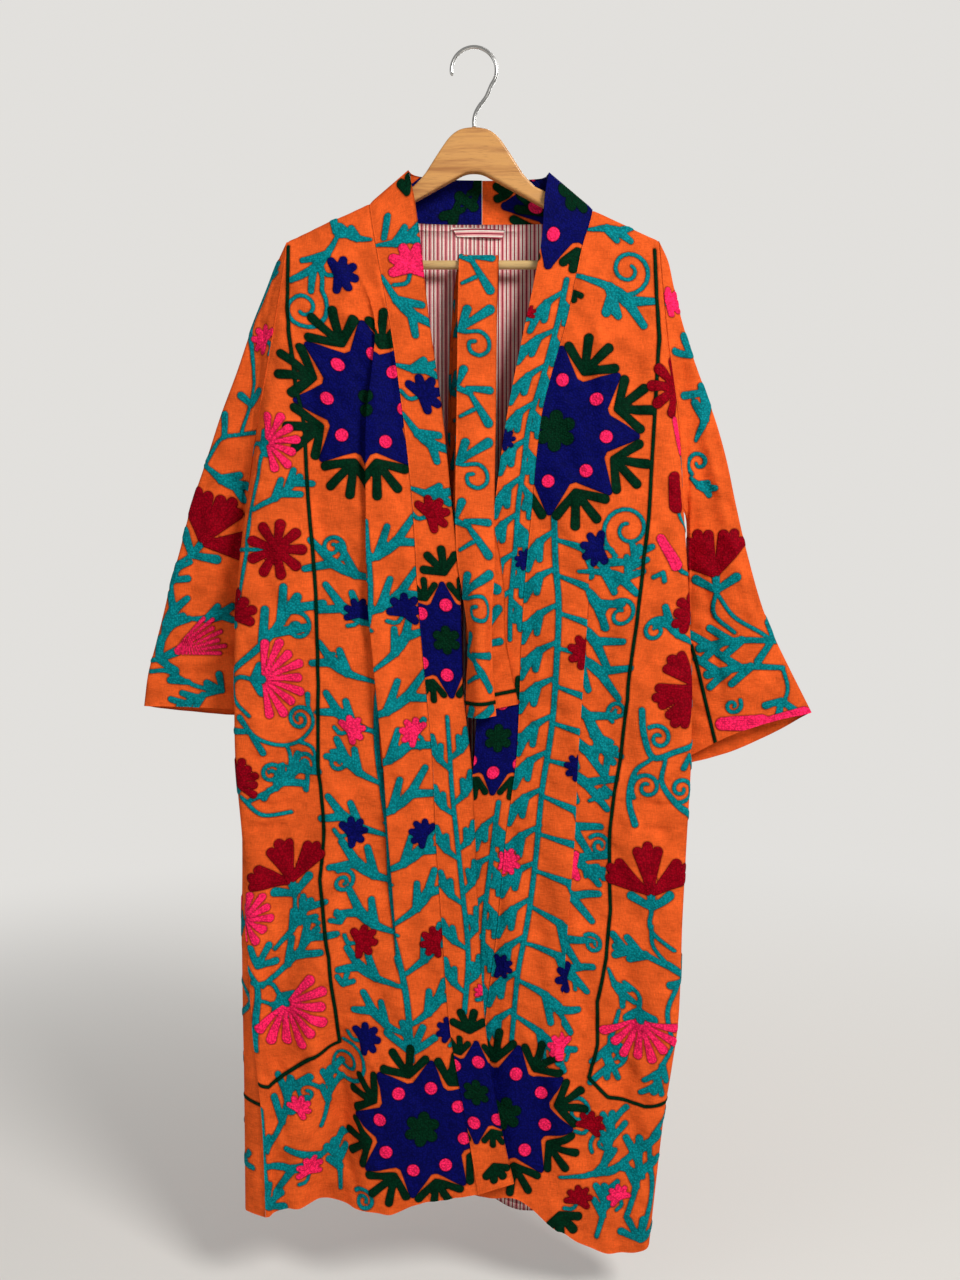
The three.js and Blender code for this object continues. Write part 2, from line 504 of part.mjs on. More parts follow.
// Hanging loop: a narrow strip across the back of the neck, over the lining.
const LOOP_ROWS = table('leftX leftZ rightX rightZ', [
  [-24, -182, 33.5, -185],
  [-18, -192, 30, -194.5],
]);
const loopStrip = flip(grid([0, 1].map((i) => Array.from({ length: 9 }, (_, j) => {
  const r = LOOP_ROWS[i];
  const t = j / 8;
  return V(mix(r.leftX, r.rightX, t), 17.9 - 2 * Math.sin(Math.PI * t), mix(r.leftZ, r.rightZ, t));
}))));

// Belt: each station is a cross-section, folded about its middle by the fold angle.
const BELT_HALF = 5;
const beltGrid = grid(BELT_PATH.map((s, i) => {
  const before = BELT_PATH[Math.max(0, i - 1)];
  const after = BELT_PATH[Math.min(BELT_PATH.length - 1, i + 1)];
  const along = V(after.x - before.x, after.y - before.y, after.z - before.z).normalize();
  const across = V(1, 0, 0).addScaledVector(along, -along.x).normalize();
  const face = V(0, 0, 0).crossVectors(across, along);
  const angle = THREE.MathUtils.degToRad(s.fold);
  const wing = Array.from({ length: BELT_HALF }, (_, k) => {
    const step = BELT_WIDTH / 2 / BELT_HALF;
    let [u, w] = [0, 0];
    for (let m = 0; m <= k; m += 1) {
      const bend = angle * Math.min(1, ((m + 0.5) * step) / 7);
      u += Math.cos(bend) * step;
      w += Math.sin(bend) * step;
    }
    return [u, w];
  });
  const inward = face.y > 0 ? 1 : -1;
  const at = (u, w) => V(s.x, s.y, s.z).addScaledVector(across, u).addScaledVector(face, w * inward);
  return [...wing.map(([u, w]) => at(-u, w)).reverse(), at(0, 0), ...wing.map(([u, w]) => at(u, w))];
}));

// Hanger: one flat wooden piece, cut to outline, with a foot at each end for the bar.
const armTop = (x) => NECK.z - (Math.abs(x) - NECK.x) * ARM_SLOPE;
const CROWN = [[0, -82.5], [15.5, -84.8], [26.1, -92.6], [35, -104.9], [44, -118.7], [53.5, -133.5]];
const NOTCH_Z = -125.4;      // top of the notch under the neck
const UNDER_SLOPE = 0.55;
const half = [...CROWN, [NECK.x, NECK.z], [110, armTop(110)], [ARM_END - 5, armTop(ARM_END - 5)],
  [ARM_END, armTop(ARM_END) - 5], [ARM_END, -235], [FOOT_X, -235], [FOOT_X, -221.2],
  [100, NOTCH_Z - 100 * UNDER_SLOPE], [8, NOTCH_Z - 8 * UNDER_SLOPE]];
const outline = [...half, ...half.slice(1).reverse().map(([x, z]) => [-x, z])];
const woodShape = new THREE.Shape(outline.map(([x, z]) => new THREE.Vector2(x, z)));
const BEVEL = 2.5;
const woodGeometry = new THREE.ExtrudeGeometry(woodShape, {
  depth: WOOD - 2 * BEVEL, bevelEnabled: true, bevelThickness: BEVEL, bevelSize: BEVEL,
  bevelOffset: -BEVEL, bevelSegments: 1,
});
woodGeometry.rotateX(Math.PI / 2);
woodGeometry.translate(0, WOOD / 2 - BEVEL, 0);

const barLength = 2 * (FOOT_X - SEAM);
const barGeometry = new THREE.CylinderGeometry(BAR_R, BAR_R, barLength, 16);
barGeometry.rotateZ(Math.PI / 2);

const HOOK_FROM = THREE.MathUtils.degToRad(-38);
const HOOK_TO = THREE.MathUtils.degToRad(194);
const bend = Array.from({ length: 19 }, (_, i) => {
  const a = mix(HOOK_FROM, HOOK_TO, i / 18);
  return V(HOOK_R * Math.cos(a), 0, WIRE_R - HOOK_R + HOOK_R * Math.sin(a));
});
const hookPath = new THREE.CatmullRomCurve3(
  [V(0, 0, CROWN[0][1] + SEAM), V(0, 0, -74), V(1.6, 0, -67), V(6, 0, -59), V(12.5, 0, -50.5), ...bend],
  false, 'centripetal');
const hookRing = Array.from({ length: 12 }, (_, i) => (2 * Math.PI * i) / 12);
const hookShape = new THREE.Shape(
  hookRing.map((a) => new THREE.Vector2(WIRE_R * Math.cos(a), WIRE_R * Math.sin(a))));
const hookGeometry = new THREE.ExtrudeGeometry(hookShape, { steps: 44, extrudePath: hookPath });

const orange = new THREE.MeshStandardMaterial({ color: '#ee6c2a', roughness: 0.9, metalness: 0 });
const stripe = new THREE.MeshStandardMaterial({ color: '#ead9d4', roughness: 0.9, metalness: 0 });
const wood = new THREE.MeshStandardMaterial({ color: '#d4a369', roughness: 0.45, metalness: 0 });
const chrome = new THREE.MeshStandardMaterial({ color: '#d8d8d8', roughness: 0.15, metalness: 1 });

const robe = new THREE.Group();
const add = (name, geometry, material) => {
  const mesh = new THREE.Mesh(geometry, material);
  mesh.name = name;
  robe.add(mesh);
  return mesh;
};
add('front_right', wall(frontRight, CLOTH), orange);
add('front_left', wall(frontLeft, CLOTH), orange);
add('back', wall(back, CLOTH), orange);
add('sleeve_right', wall(sleeveRight, CLOTH), orange);
add('sleeve_left', wall(sleeveLeft, CLOTH), orange);
add('collar_band_right', wall(bandRight, BAND), orange);
add('collar_band_left', wall(bandLeft, BAND), orange);
add('lining_back', wall(lining, LINING), stripe);
add('hanging_loop', wall(loopStrip, LOOP), stripe);
add('belt', wall(beltGrid, BELT), orange);
add('hanger_wood', woodGeometry, wood);
add('hanger_bar', barGeometry, wood).position.set(0, 0, BAR_Z);
add('hanger_hook', hookGeometry, chrome);

export default robe;
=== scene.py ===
# %% [markdown]
# # A robe on a clothes hanger
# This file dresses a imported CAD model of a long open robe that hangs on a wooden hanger.
# The CAD model fixes every size and place. Here each piece of cloth gets a finer surface
# with its creases and its embroidery, and each surface gets a material.

# %% Load the fixed frame
import math

import bmesh
import bpy
import numpy as np
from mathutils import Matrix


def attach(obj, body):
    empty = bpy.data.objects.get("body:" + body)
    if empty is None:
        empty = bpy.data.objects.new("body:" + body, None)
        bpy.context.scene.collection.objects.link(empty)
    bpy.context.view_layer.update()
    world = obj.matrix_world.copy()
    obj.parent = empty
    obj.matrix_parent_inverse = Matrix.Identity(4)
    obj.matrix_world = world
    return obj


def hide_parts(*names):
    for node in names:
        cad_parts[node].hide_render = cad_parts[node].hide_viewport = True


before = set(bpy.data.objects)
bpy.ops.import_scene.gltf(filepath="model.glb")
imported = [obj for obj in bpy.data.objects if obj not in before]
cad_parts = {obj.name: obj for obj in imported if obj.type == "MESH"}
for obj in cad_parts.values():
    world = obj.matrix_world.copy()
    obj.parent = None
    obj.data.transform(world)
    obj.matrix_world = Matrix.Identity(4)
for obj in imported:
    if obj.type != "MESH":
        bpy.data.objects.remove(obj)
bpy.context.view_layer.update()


def add_object(name, data):
    """A new object in the scene, from a mesh, a light or a camera."""
    obj = bpy.data.objects.new(name, data)
    bpy.context.scene.collection.objects.link(obj)
    return obj


print("CAD nodes:", sorted(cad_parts))

# %% [markdown]
# ## Camera
# The photo was taken from about 1.3 m away at half the robe's height, tilted down a little.
# Cloth and embroidery were drawn over that view, so the same camera is also needed as
# plain arithmetic: it turns a place in the picture into a place on the cloth.

# %% The camera, and its arithmetic
PICTURE = (960, 1280)
FOCAL_PX = 1200.0
TILT = math.radians(3.0)
CAMERA = np.array([6.394, -1310.0, -562.015])      # millimetres


def project(points):
    """Picture place, in pixels of the photo, of points in millimetres."""
    q = np.asarray(points, float) - CAMERA
    depth = q[..., 1] * math.cos(TILT) - q[..., 2] * math.sin(TILT)
    up = q[..., 1] * math.sin(TILT) + q[..., 2] * math.cos(TILT)
    return np.stack([PICTURE[0] / 2 + FOCAL_PX * q[..., 0] / depth,
                     PICTURE[1] / 2 - FOCAL_PX * up / depth], -1)


SENSOR = 36                                        # millimetres, on the picture's long side
cam_data = bpy.data.cameras.new("camera")
cam_data.sensor_width = SENSOR
cam_data.lens = SENSOR * FOCAL_PX / PICTURE[1]
cam_data.clip_end = 50
camera = add_object("camera", cam_data)
camera.location = CAMERA / 1000
camera.rotation_euler = (math.pi / 2 - TILT, 0, 0)
bpy.context.scene.camera = camera
print("hook top seen at", project([0, 0, 0]).round(0))

# %% [markdown]
# ## Smooth lines through measured sections
# Each panel is known at a few heights only. A centripetal Catmull-Rom curve passes through
# every section without overshooting, so it is used down the panel and then across it.

# %% Curves, tables and small helpers
def smooth(t):
    c = np.clip(t, 0, 1)
    return c * c * (3 - 2 * c)


def mix(a, b, t):
    return a + (b - a) * t


def table(names, rows):
    keys = names.split()
    return {k: np.array([row[i] for row in rows], float) for i, k in enumerate(keys)}


def along(points, at):
    """Points (n, ..., 3) read at places 0 to n-1, on a centripetal Catmull-Rom curve."""
    p = np.asarray(points, float)
    p = np.concatenate([[2 * p[0] - p[1]], p, [2 * p[-1] - p[-2]]])
    out = []
    for t in at:
        i = int(min(max(math.floor(t), 0), len(p) - 4))
        a, b, c, d = p[i:i + 4]
        w = t - i
        knots = [np.sqrt(np.sqrt(np.sum((q - r) ** 2, -1, keepdims=True)))
                 for q, r in ((b, a), (c, b), (d, c))]
        k1 = np.where(knots[1] < 1e-4, 1.0, knots[1])
        k0 = np.where(knots[0] < 1e-4, k1, knots[0])
        k2 = np.where(knots[2] < 1e-4, k1, knots[2])
        m1 = ((b - a) / k0 - (c - a) / (k0 + k1) + (c - b) / k1) * k1
        m2 = ((c - b) / k1 - (d - b) / (k1 + k2) + (d - c) / k2) * k1
        out.append(b + w * m1 + w * w * (3 * (c - b) - 2 * m1 - m2)
                   + w ** 3 * (2 * (b - c) + m1 + m2))
    return np.array(out)


def steps(counts):
    """Places between control points, so many to each stretch."""
    return [i + k / n for i, n in enumerate(counts) for k in range(n)] + [len(counts)]


def height_at(line, x):
    """Height of a cut edge at x, easing from one listed place to the next."""
    i = np.clip(np.searchsorted(line["x"], x, side="right") - 1, 0, len(line["x"]) - 2)
    t = smooth((x - line["x"][i]) / (line["x"][i + 1] - line["x"][i]))
    return mix(line["z"][i], line["z"][i + 1], t)


INNER = 2                    # the plain inner face of a wall has every second point only


def spaced(curve_length, step):
    """How many stretches of about this step fit, in pairs for the coarser inside."""
    return max(INNER, INNER * int(round(curve_length / step / INNER)))


# %% [markdown]
# ## Sizes of the cloth
# These are the CAD model's own sections, in millimetres: a row for each height, from the
# shoulder down to the hem. Keeping the same numbers keeps every piece on its solid.

# %% Cloth thicknesses and the section tables
CLOTH, BAND, BELT, LINING, LOOP, SEAM = 2.0, 2.4, 2.0, 1.0, 1.6, 0.3
FRONT_NAMES = "seamX seamY seamZ freeX freeY freeZ tuckX tuck midY turnX turnY sideX sideY sideZ"
FRONT_RIGHT = table(FRONT_NAMES, [
    [-111, 0, -163.1, -69.7, 0, -127.6, -150, 0, 0, -190, 0, -199, 0, -203.2],
    [-111, -6.2, -165.3, -68.8, -6.4, -131, -150, 0, -6.2, -190.5, -6.2, -200, -6.2, -205.6],
    [-110.6, -8.8, -171, -67.6, -9.2, -139, -149, 0, -8.8, -191, -8.8, -200.6, -8.8, -211],
    [-108.8, -10.8, -184, -64, -11.6, -156, -146, 0, -11, -192, -11, -201.3, -10.8, -223],
    [-104.3, -14, -211, -57.5, -15, -200, -137, 0, -15, -195, -15, -205.5, -13, -252],
    [-90.3, -19.5, -288, -47.8, -20, -286, -109, 0.5, -21, -205, -20, -216.4, -15, -316],
    [-76.5, -24, -384, -34, -25, -384, -113.7, 1, -26, -220, -24, -231.3, -13, -396],
    [-65.9, -28, -482, -23.9, -29, -482, -114.8, 1, -30, -240, -22, -247, 2, -486],
    [-59.6, -32, -586, -14.4, -33, -586, -112.8, 1, -34, -252, -28, -255, -12, -587],
    [-51.1, -36, -682, -11.7, -37, -682, -104.4, 1, -37, -254.5, -30, -257.3, -14, -682],
    [-44.3, -39, -757, -3.2, -40, -757, -97, 1, -39, -254, -32, -256.8, -17, -757],
    [-41.1, -42, -835, 1.1, -43, -835, -91.8, 1, -41.5, -247.5, -34, -250.5, -22, -835],
    [-34.3, -44, -938, 5.3, -45, -938, -87.8, 0.5, -43, -236, -42, -244.6, -38, -939],
    [-25.8, -46, -1048, 12.8, -47, -1048, -86, 0, -44.5, -230, -43.5, -238.3, -42, -1050],
    [-8.7, -46, -1147, 27.9, -47, -1147, -88, 0, -45.5, -221, -45, -229, -43.5, -1149],
    [4.2, -45, -1229, 43.2, -46, -1216, -92, 0, -46, -218, -45.5, -226, -44, -1255]])
FRONT_LEFT = table(FRONT_NAMES, [
    [126.4, 0, -170.2, 79.2, 0, -130.7, 160, 0, 0, 187, 0, 196.5, 0, -202.1],
    [126, -6.2, -172.4, 78.6, -6.4, -134, 160, 0, -6.2, 188, -6.2, 197.5, -6.2, -204.6],
    [125, -8.8, -178, 77.6, -9.2, -142, 160, 0, -8.8, 189, -8.8, 198, -8.8, -210],
    [121.6, -10.8, -190, 75.2, -11.6, -158, 158, 0, -11, 190, -11, 199, -10.8, -226],
    [115, -13, -211, 72, -14, -203, 155, 0, -14, 193, -15, 201.5, -13, -257],
    [99, -17, -288, 55.4, -18, -288, 145, 0, -20, 199, -20, 207.3, -15, -316],
    [73.6, -19, -383, 36.3, -20, -383, 138, 0, -24, 209, -24, 218.8, -13, -395],
    [62.6, -21, -482, 22.4, -22, -482, 130, 0, -27, 219, -22, 227, 2, -486],
    [53.1, -23, -586, 11.8, -24, -586, 124.4, 0.6, -31, 227, -28, 230.8, -12, -587],
    [48.9, -25, -683, 4.2, -25.5, -683, 116, 1, -34, 230.5, -30, 233.5, -14, -682],
    [45.2, -27, -759, -0.1, -27.5, -759, 111, 1, -36, 230.5, -32, 233.8, -16, -757],
    [34.5, -28, -838, -8.7, -28.5, -838, 108, 1, -38, 226.5, -34, 230, -18, -835],
    [24.8, -28.5, -943, -19.6, -29, -943, 101.7, 0.8, -40, 221.5, -36, 225.2, -20, -939],
    [10.7, -29, -1055, -32.8, -29.5, -1055, 96.7, 0.4, -42, 217.5, -37, 221.5, -21, -1049],
    [3.1, -29, -1155, -40.6, -29.5, -1155, 91.6, 0, -43, 203, -38, 207.2, -22, -1148],
    [-4.6, -29, -1236, -48.4, -29.5, -1236, 86.4, 0, -43, 187.5, -39, 192, -23, -1292]])
BACK = table("edgeY turnRX turnRY nearY midY turnLX turnLY", [
    [0, -190, 0, 0, 0, 187, 0], [6.2, -190.5, 6.2, 6.2, 6.2, 188, 6.2],
    [8.8, -191, 8.8, 8.8, 8.8, 189, 8.8], [10.8, -192, 10.8, 10.8, 11, 190, 10.8],
    [12, -198, 12, 12, 20, 193, 12], [13, -210, 13, 13.5, 20, 200, 13],
    [12, -225, 12, 13, 19, 212, 12], [2, -242, 3, 6, 19, 222, 3],
    [-12, -252.5, -2, 7, 20, 228.5, -2], [-14, -255.5, -3, 8, 21, 231.5, -3],
    [-17, -255, -6, 9, 22, 231.5, -6], [-22, -251.5, -12, 9, 23, 228.5, -8],
    [-38, -251, -24, 6, 24, 223.5, -9], [-42, -251, -25, 4, 25, 219.5, -9],
    [-43.5, -250.6, -26, 3, 26, 205.5, -9], [-44, -250.5, -27, 3, 27, 190.5, -9]])
NECKLINE = table("seamX seamY seamZ freeX freeY freeZ", [
    [-111, 0, -163.1, -69.7, 0, -127.6], [-109, 7.8, -164.6, -67.5, 8.2, -128],
    [-95, 14.5, -174, -62, 13.5, -128.5], [-65, 19.5, -177, -47, 19, -129.5],
    [-30, 22, -178, -24, 22, -130.5], [8.6, 22.5, -178, 8.6, 22.5, -131],
    [45, 22, -178, 36, 22, -131], [78, 19.5, -178, 59, 19, -131],
    [108, 14.5, -177.5, 73, 13.5, -131], [124.5, 7.8, -171.6, 78, 8.2, -131],
    [126.4, 0, -170.2, 79.2, 0, -130.7]])
HEM_RIGHT = table("x z", [
    [-250, -1256], [-226, -1255], [-206, -1248], [-172, -1244], [-148, -1245], [-123, -1247],
    [-110, -1249], [-92, -1250], [-64, -1241], [-40, -1236], [4, -1229]])
HEM_LEFT = table("x z", [
    [-5, -1236], [50, -1233], [62, -1247], [74, -1261], [94, -1270], [117, -1284],
    [132, -1291], [148, -1295], [173, -1297], [192, -1292]])
HEM_BACK = table("x z", [
    [-250, -1256], [-150, -1260], [0, -1267], [74, -1284], [130, -1292], [192, -1292]])
FOLD_NAMES = "topX topZ lowX lowZ width depth"
FOLDS_RIGHT = table(FOLD_NAMES, [[-128, -1000, -158, -1250, 22, 26],
                                 [-190, -560, -205, -860, 16, 7],
                                 [-165, -300, -180, -620, 18, 5]])
FOLDS_LEFT = table(FOLD_NAMES, [[150, -560, 140, -900, 18, 6],
                                [165, -900, 168, -1290, 16, 8],
                                [60, -640, 72, -1150, 14, 5]])
FOLDS_BACK = table(FOLD_NAMES, [[-160, -500, -190, -1260, 22, -6],
                                [-60, -420, -85, -1265, 24, 12],
                                [50, -450, 40, -1270, 22, -9],
                                [130, -520, 135, -1290, 20, 12]])
SLEEVE_NAMES = "upX upY upZ lowX lowY lowZ deep"
SLEEVE_RIGHT = table(SLEEVE_NAMES, [
    [-209, 0, -221, -253, 9, -497, 11], [-221.9, 0, -253, -256, 13, -515, 10],
    [-240, 2, -296, -255.5, 17, -546, 9], [-256, 4, -340, -251, 20, -578, 9],
    [-274, 5, -386, -247, 23, -606, 8], [-291, 7, -435, -242, 25, -632, 8],
    [-308.8, 9, -485, -236, 26.5, -655, 8], [-321.7, 10, -532, -230, 28, -676, 8],
    [-333, 11, -570, -225.5, 29, -690, 7], [-341.8, 12, -604, -221.5, 29.5, -700, 7],
    [-351, 12.5, -638, -218, 30, -708, 7], [-359.5, 13, -669, -216, 30.5, -713, 8],
    [-364.8, 14, -704.6, -214.6, 31, -717.6, 9]])
SLEEVE_LEFT = table(SLEEVE_NAMES, [
    [207, 0, -221, 233, 9, -497, 11], [214, 0, -250, 236.5, 13, -515, 10],
    [223, 1, -285, 238, 17, -546, 9], [235, 2, -322, 237.5, 20, -580, 9],
    [249.4, 4, -360, 236, 23, -610, 8], [263, 5, -397, 234.5, 25, -640, 8],
    [274.4, 6, -436, 232.5, 26.5, -668, 8], [285.2, 8, -483, 230, 28, -694, 8],
    [297, 9, -531, 227.5, 29, -718, 7], [316.8, 11, -597, 225, 29.5, -738, 7],
    [331, 12, -630, 222.5, 30, -753, 7], [345, 13, -658, 220, 30.5, -765, 8],
    [373, 14, -712, 217.8, 31, -776, 9]])
CUFF_LIFT = {"right": 4, "left": 11}
print("front sections:", len(FRONT_RIGHT["midY"]), "sleeve rings:", len(SLEEVE_RIGHT["deep"]))

# %% [markdown]
# ## Panels as quilts of points
# A panel is a grid of points: rows go down the cloth, columns go across it. It is first laid
# through the CAD sections, and then split more finely, to steps of about 2 mm, so that the
# embroidery can stand up from it.

# %% Rows and columns of the body panels
COARSE_ROWS = steps([1] * 4 + [2] * 11)
UNDERARM = 10                # the row at which the sleeve's seam ends
COARSE_ACROSS = steps([2, 2, 3, 3, 2, 2, 2, 2])
COARSE_BACK = steps([2, 1, 2, 2, 1, 1, 1, 1, 1, 1, 1, 1, 1, 1, 2, 2, 1, 2])
TUCK_OVER, TUCK_STEP = 12, 8             # how far a pleat laps over, and how deep it steps
BEFORE_TURN = 28                         # a panel starts to round off this far from its turn
HEM_FROM, HEM_OVER = -835, 400           # below this height the rows bend towards the hem


def fold_depth(folds, x, z):
    """How far soft folds along listed lines push the cloth back (or forward, below 0)."""
    total = np.zeros(np.shape(x))
    for tx, tz, lx, lz, width, depth in zip(*folds.values()):
        t = (z - tz) / (lz - tz)
        total += depth * np.exp(-((x - mix(tx, lx, t)) / width) ** 2) * smooth(t * 2.5)
    return total


def hem_weight(z):
    return np.maximum(0, (HEM_FROM - z) / HEM_OVER) ** 2


def front_grid(r, hem, folds, rows, across):
    """A front panel, through nine control points across each section."""
    out = np.sign(r["sideX"][0] - r["seamX"][0])
    k, tuck_x = r["tuck"], r["tuckX"]
    near = r["turnX"] - out * BEFORE_TURN * smooth((abs(r["turnX"] - tuck_x) - 20) / 80)
    edge = tuck_x + out * (8 - 4 * k)
    x = np.stack([r["seamX"], mix(r["seamX"], tuck_x, .5), tuck_x - out * 8 * (1 - k),
                  tuck_x - out * TUCK_OVER * k, edge, mix(edge, near, .5), near,
                  r["turnX"], r["sideX"]], 1)
    y = np.stack([r["seamY"], mix(r["seamY"], r["midY"], .6), r["midY"] - 2 * k,
                  r["midY"] + 3.5 * k, r["midY"] + TUCK_STEP * k, r["midY"] + 3 * k,
                  mix(r["midY"], r["turnY"], .35), r["turnY"], r["sideY"]], 1)
    t = np.clip((x - r["seamX"][:, None]) / (r["sideX"] - r["seamX"])[:, None], 0, 1)
    z = mix(r["seamZ"][:, None], r["sideZ"][:, None], t)
    p = along(along(np.stack([x, y, z], -1), rows).swapaxes(0, 1), across).swapaxes(0, 1)
    x, y, z = p[..., 0], p[..., 1], p[..., 2]
    t = (x - r["seamX"][-1]) / (r["sideX"][-1] - r["seamX"][-1])
    cut = height_at(hem, x) - mix(r["seamZ"][-1], r["sideZ"][-1], t)
    share = np.linspace(0, 18, p.shape[1])
    inside = smooth(share / 3) * smooth((18 - share) / 3)
    return np.stack([x, y + inside * fold_depth(folds, x, z),
                     z + inside * hem_weight(z) * cut], -1)


# %% The back, with the neckline let into its upper edge
BACK_SHARE = [0, 0, 0.055, 0.15, 0.225, 0.245, 0.28, 0.345, 0.425, 0.52, 0.6, 0.67, 0.735,
              0.775, 0.8, 0.87, 0.945, 1, 1]
NECK_FALL, CORNER_FALL = [0, 0.1, 0.25, 0.55], [0, 0.015, 0.08, 0.3]
NECK_COLUMN, NEAR_COLUMN = 7, 3


def back_grid(fr, fl):
    """The back at the CAD steps; fr and fl are the fronts, whose side edges it shares."""
    last = len(BACK_SHARE) - 1
    control = np.zeros((16, last + 1, 3))
    for i in range(16):
        for j, s in enumerate(BACK_SHARE):
            b = {k: v[i] for k, v in BACK.items()}
            r = {k: v[i] for k, v in FRONT_RIGHT.items()}
            el = {k: v[i] for k, v in FRONT_LEFT.items()}
            x = mix(b["turnRX"], b["turnLX"], s)
            z = mix(r["sideZ"], el["sideZ"], (x - r["sideX"]) / (el["sideX"] - r["sideX"]))
            n = min(j, last - j)
            y = b["nearY"] if n == 2 else mix(b["nearY"], b["midY"], smooth((n - 2) / 3))
            if i < 4 and 1 <= n <= 4:
                m, turn = (r, b["turnRX"]) if j < last / 2 else (el, b["turnLX"])
                x = mix(turn, m["seamX"], [0, 0.3, 0.7, 1][n - 1])
                z = mix(m["sideZ"], m["seamZ"], (x - m["sideX"]) / (m["seamX"] - m["sideX"]))
                y = b["edgeY"]
            if j == 0:
                x, y, z = r["sideX"], b["edgeY"], r["sideZ"]
            if j == last:
                x, y, z = el["sideX"], b["edgeY"] if i < 8 else el["sideY"], el["sideZ"]
            if j == 1:
                x, y = b["turnRX"], b["turnRY"]
            if j == last - 1:
                x, y = b["turnLX"], b["turnLY"]
            control[i, j] = x, y, z
    neck = np.stack([NECKLINE["seamX"], NECKLINE["seamY"], NECKLINE["seamZ"]], 1)
    for i in range(4):
        for k in range(1, 10):
            fall = (CORNER_FALL if k in (1, 9) else NECK_FALL)[i]
            control[i, 4 + k] = mix(neck[k], control[4, 4 + k], fall)
    p = along(along(control, COARSE_ROWS).swapaxes(0, 1), COARSE_BACK).swapaxes(0, 1)
    n = p.shape[1] - 1
    for i in range(4):
        for j in range(NEAR_COLUMN + 1, NECK_COLUMN):
            t = (j - NEAR_COLUMN) / (NECK_COLUMN - NEAR_COLUMN)
            p[i, j] = mix(p[i, NEAR_COLUMN], p[i, NECK_COLUMN], t)
            p[i, n - j] = mix(p[i, n - NEAR_COLUMN], p[i, n - NECK_COLUMN], t)
    p[UNDERARM:, 0], p[UNDERARM:, n] = fr[UNDERARM:, -1], fl[UNDERARM:, -1]
    x, y, z = p[..., 0], p[..., 1], p[..., 2]
    ends = FRONT_RIGHT["sideX"][-1], FRONT_LEFT["sideX"][-1]
    level = mix(FRONT_RIGHT["sideZ"][-1], FRONT_LEFT["sideZ"][-1],
                (x - ends[0]) / (ends[1] - ends[0]))
    share = np.arange(n + 1)
    inside = smooth(share / 4) * smooth((n - share) / 4)
    return np.stack([x, y + inside * fold_depth(FOLDS_BACK, x, z),
                     z + inside * hem_weight(z) * (height_at(HEM_BACK, x) - level)], -1)


coarse_right = front_grid(FRONT_RIGHT, HEM_RIGHT, FOLDS_RIGHT, COARSE_ROWS, COARSE_ACROSS)
coarse_left = front_grid(FRONT_LEFT, HEM_LEFT, FOLDS_LEFT, COARSE_ROWS, COARSE_ACROSS)
coarse_back = back_grid(coarse_right, coarse_left)
print("body grids", coarse_right.shape, coarse_left.shape, coarse_back.shape)

# %% [markdown]
# ## Thickness, directions and seams
# A quilt keeps a direction at each point, so that it can be made into a wall of even
# thickness. At a seam the two pieces share that direction and then draw apart by a hair,
# as sewn pieces do. A finer quilt is read off the same curves.

# %% The quilt
def run(p, axis):
    """Mean length along rows (axis 0) or columns (axis 1), added up from the first."""
    leap = np.linalg.norm(np.diff(p, axis=axis), axis=-1).mean(1 - axis)
    return np.concatenate([[0], np.cumsum(leap)])


def between(a, rows, columns):
    """Values of a grid read between its points, in straight lines."""
    i0 = np.clip(np.floor(rows).astype(int), 0, len(a) - 2)
    j0 = np.clip(np.floor(columns).astype(int), 0, a.shape[1] - 2)
    u, v = (np.asarray(rows) - i0)[:, None, None], (np.asarray(columns) - j0)[None, :, None]
    top = mix(a[i0][:, j0], a[i0][:, j0 + 1], v)
    low = mix(a[i0 + 1][:, j0], a[i0 + 1][:, j0 + 1], v)
    return mix(top, low, u)


class Quilt:
    """A grid of points with a direction at each, and the small moves that open its seams."""

    def __init__(self, p, loop=False, turned=False):
        self.p, self.loop = p, loop
        right, left = np.roll(p, -1, 1), np.roll(p, 1, 1)
        if not loop:
            right[:, -1], left[:, 0] = p[:, -1], p[:, 0]
        down, up = np.concatenate([p[1:], p[-1:]]), np.concatenate([p[:1], p[:-1]])
        n = np.cross(right - left, down - up)
        self.n = n / np.linalg.norm(n, axis=-1, keepdims=True) * (-1 if turned else 1)
        self.shift = np.zeros_like(p)

    def part(self, i, j, i2, j2, gap=SEAM):
        away = self.p[i2, j2] - self.p[i, j]
        away = away - self.n[i, j] * (away @ self.n[i, j])
        self.shift[i, j] += away / np.linalg.norm(away) * gap / 2

    def part_side(self, j, inward):
        for i in range(len(self.p)):
            self.part(i, j, i, j + inward)

    def part_row(self, i, inward, first=0):
        for j in range(first, self.p.shape[1]):
            self.part(i, j, i + inward, j)

    def finer(self, down, across):
        """The same surface, with its rows and columns about so many millimetres apart."""
        p, n, shift = self.p, self.n, self.shift
        length = run(p, 0)
        rows = np.interp(np.linspace(0, length[-1], spaced(length[-1], down) + 1),
                         length, np.arange(len(p)))
        wide = np.concatenate([p, p[:, :1]], 1) if self.loop else p
        width = run(wide, 1)
        count = spaced(width[-1], across)
        columns = np.interp(np.linspace(0, width[-1], count + 1), width, np.arange(len(width)))
        if self.loop:
            columns = columns[:-1] + 2
            p, n, shift = (np.concatenate([a[:, -2:], a, a[:, :3]], 1) for a in (p, n, shift))
        fine = Quilt(along(along(p, rows).swapaxes(0, 1), columns).swapaxes(0, 1), self.loop)
        fine.n = between(n, rows, columns)
        fine.n /= np.linalg.norm(fine.n, axis=-1, keepdims=True)
        fine.shift = between(shift, rows, columns)
        fine.lift = np.zeros(fine.p.shape[:2])
        fine.apart = np.full(fine.p.shape[:2], 1e3)        # mm from where the cloth turns away
        fine.rows_at, fine.columns_at = rows, columns
        return fine


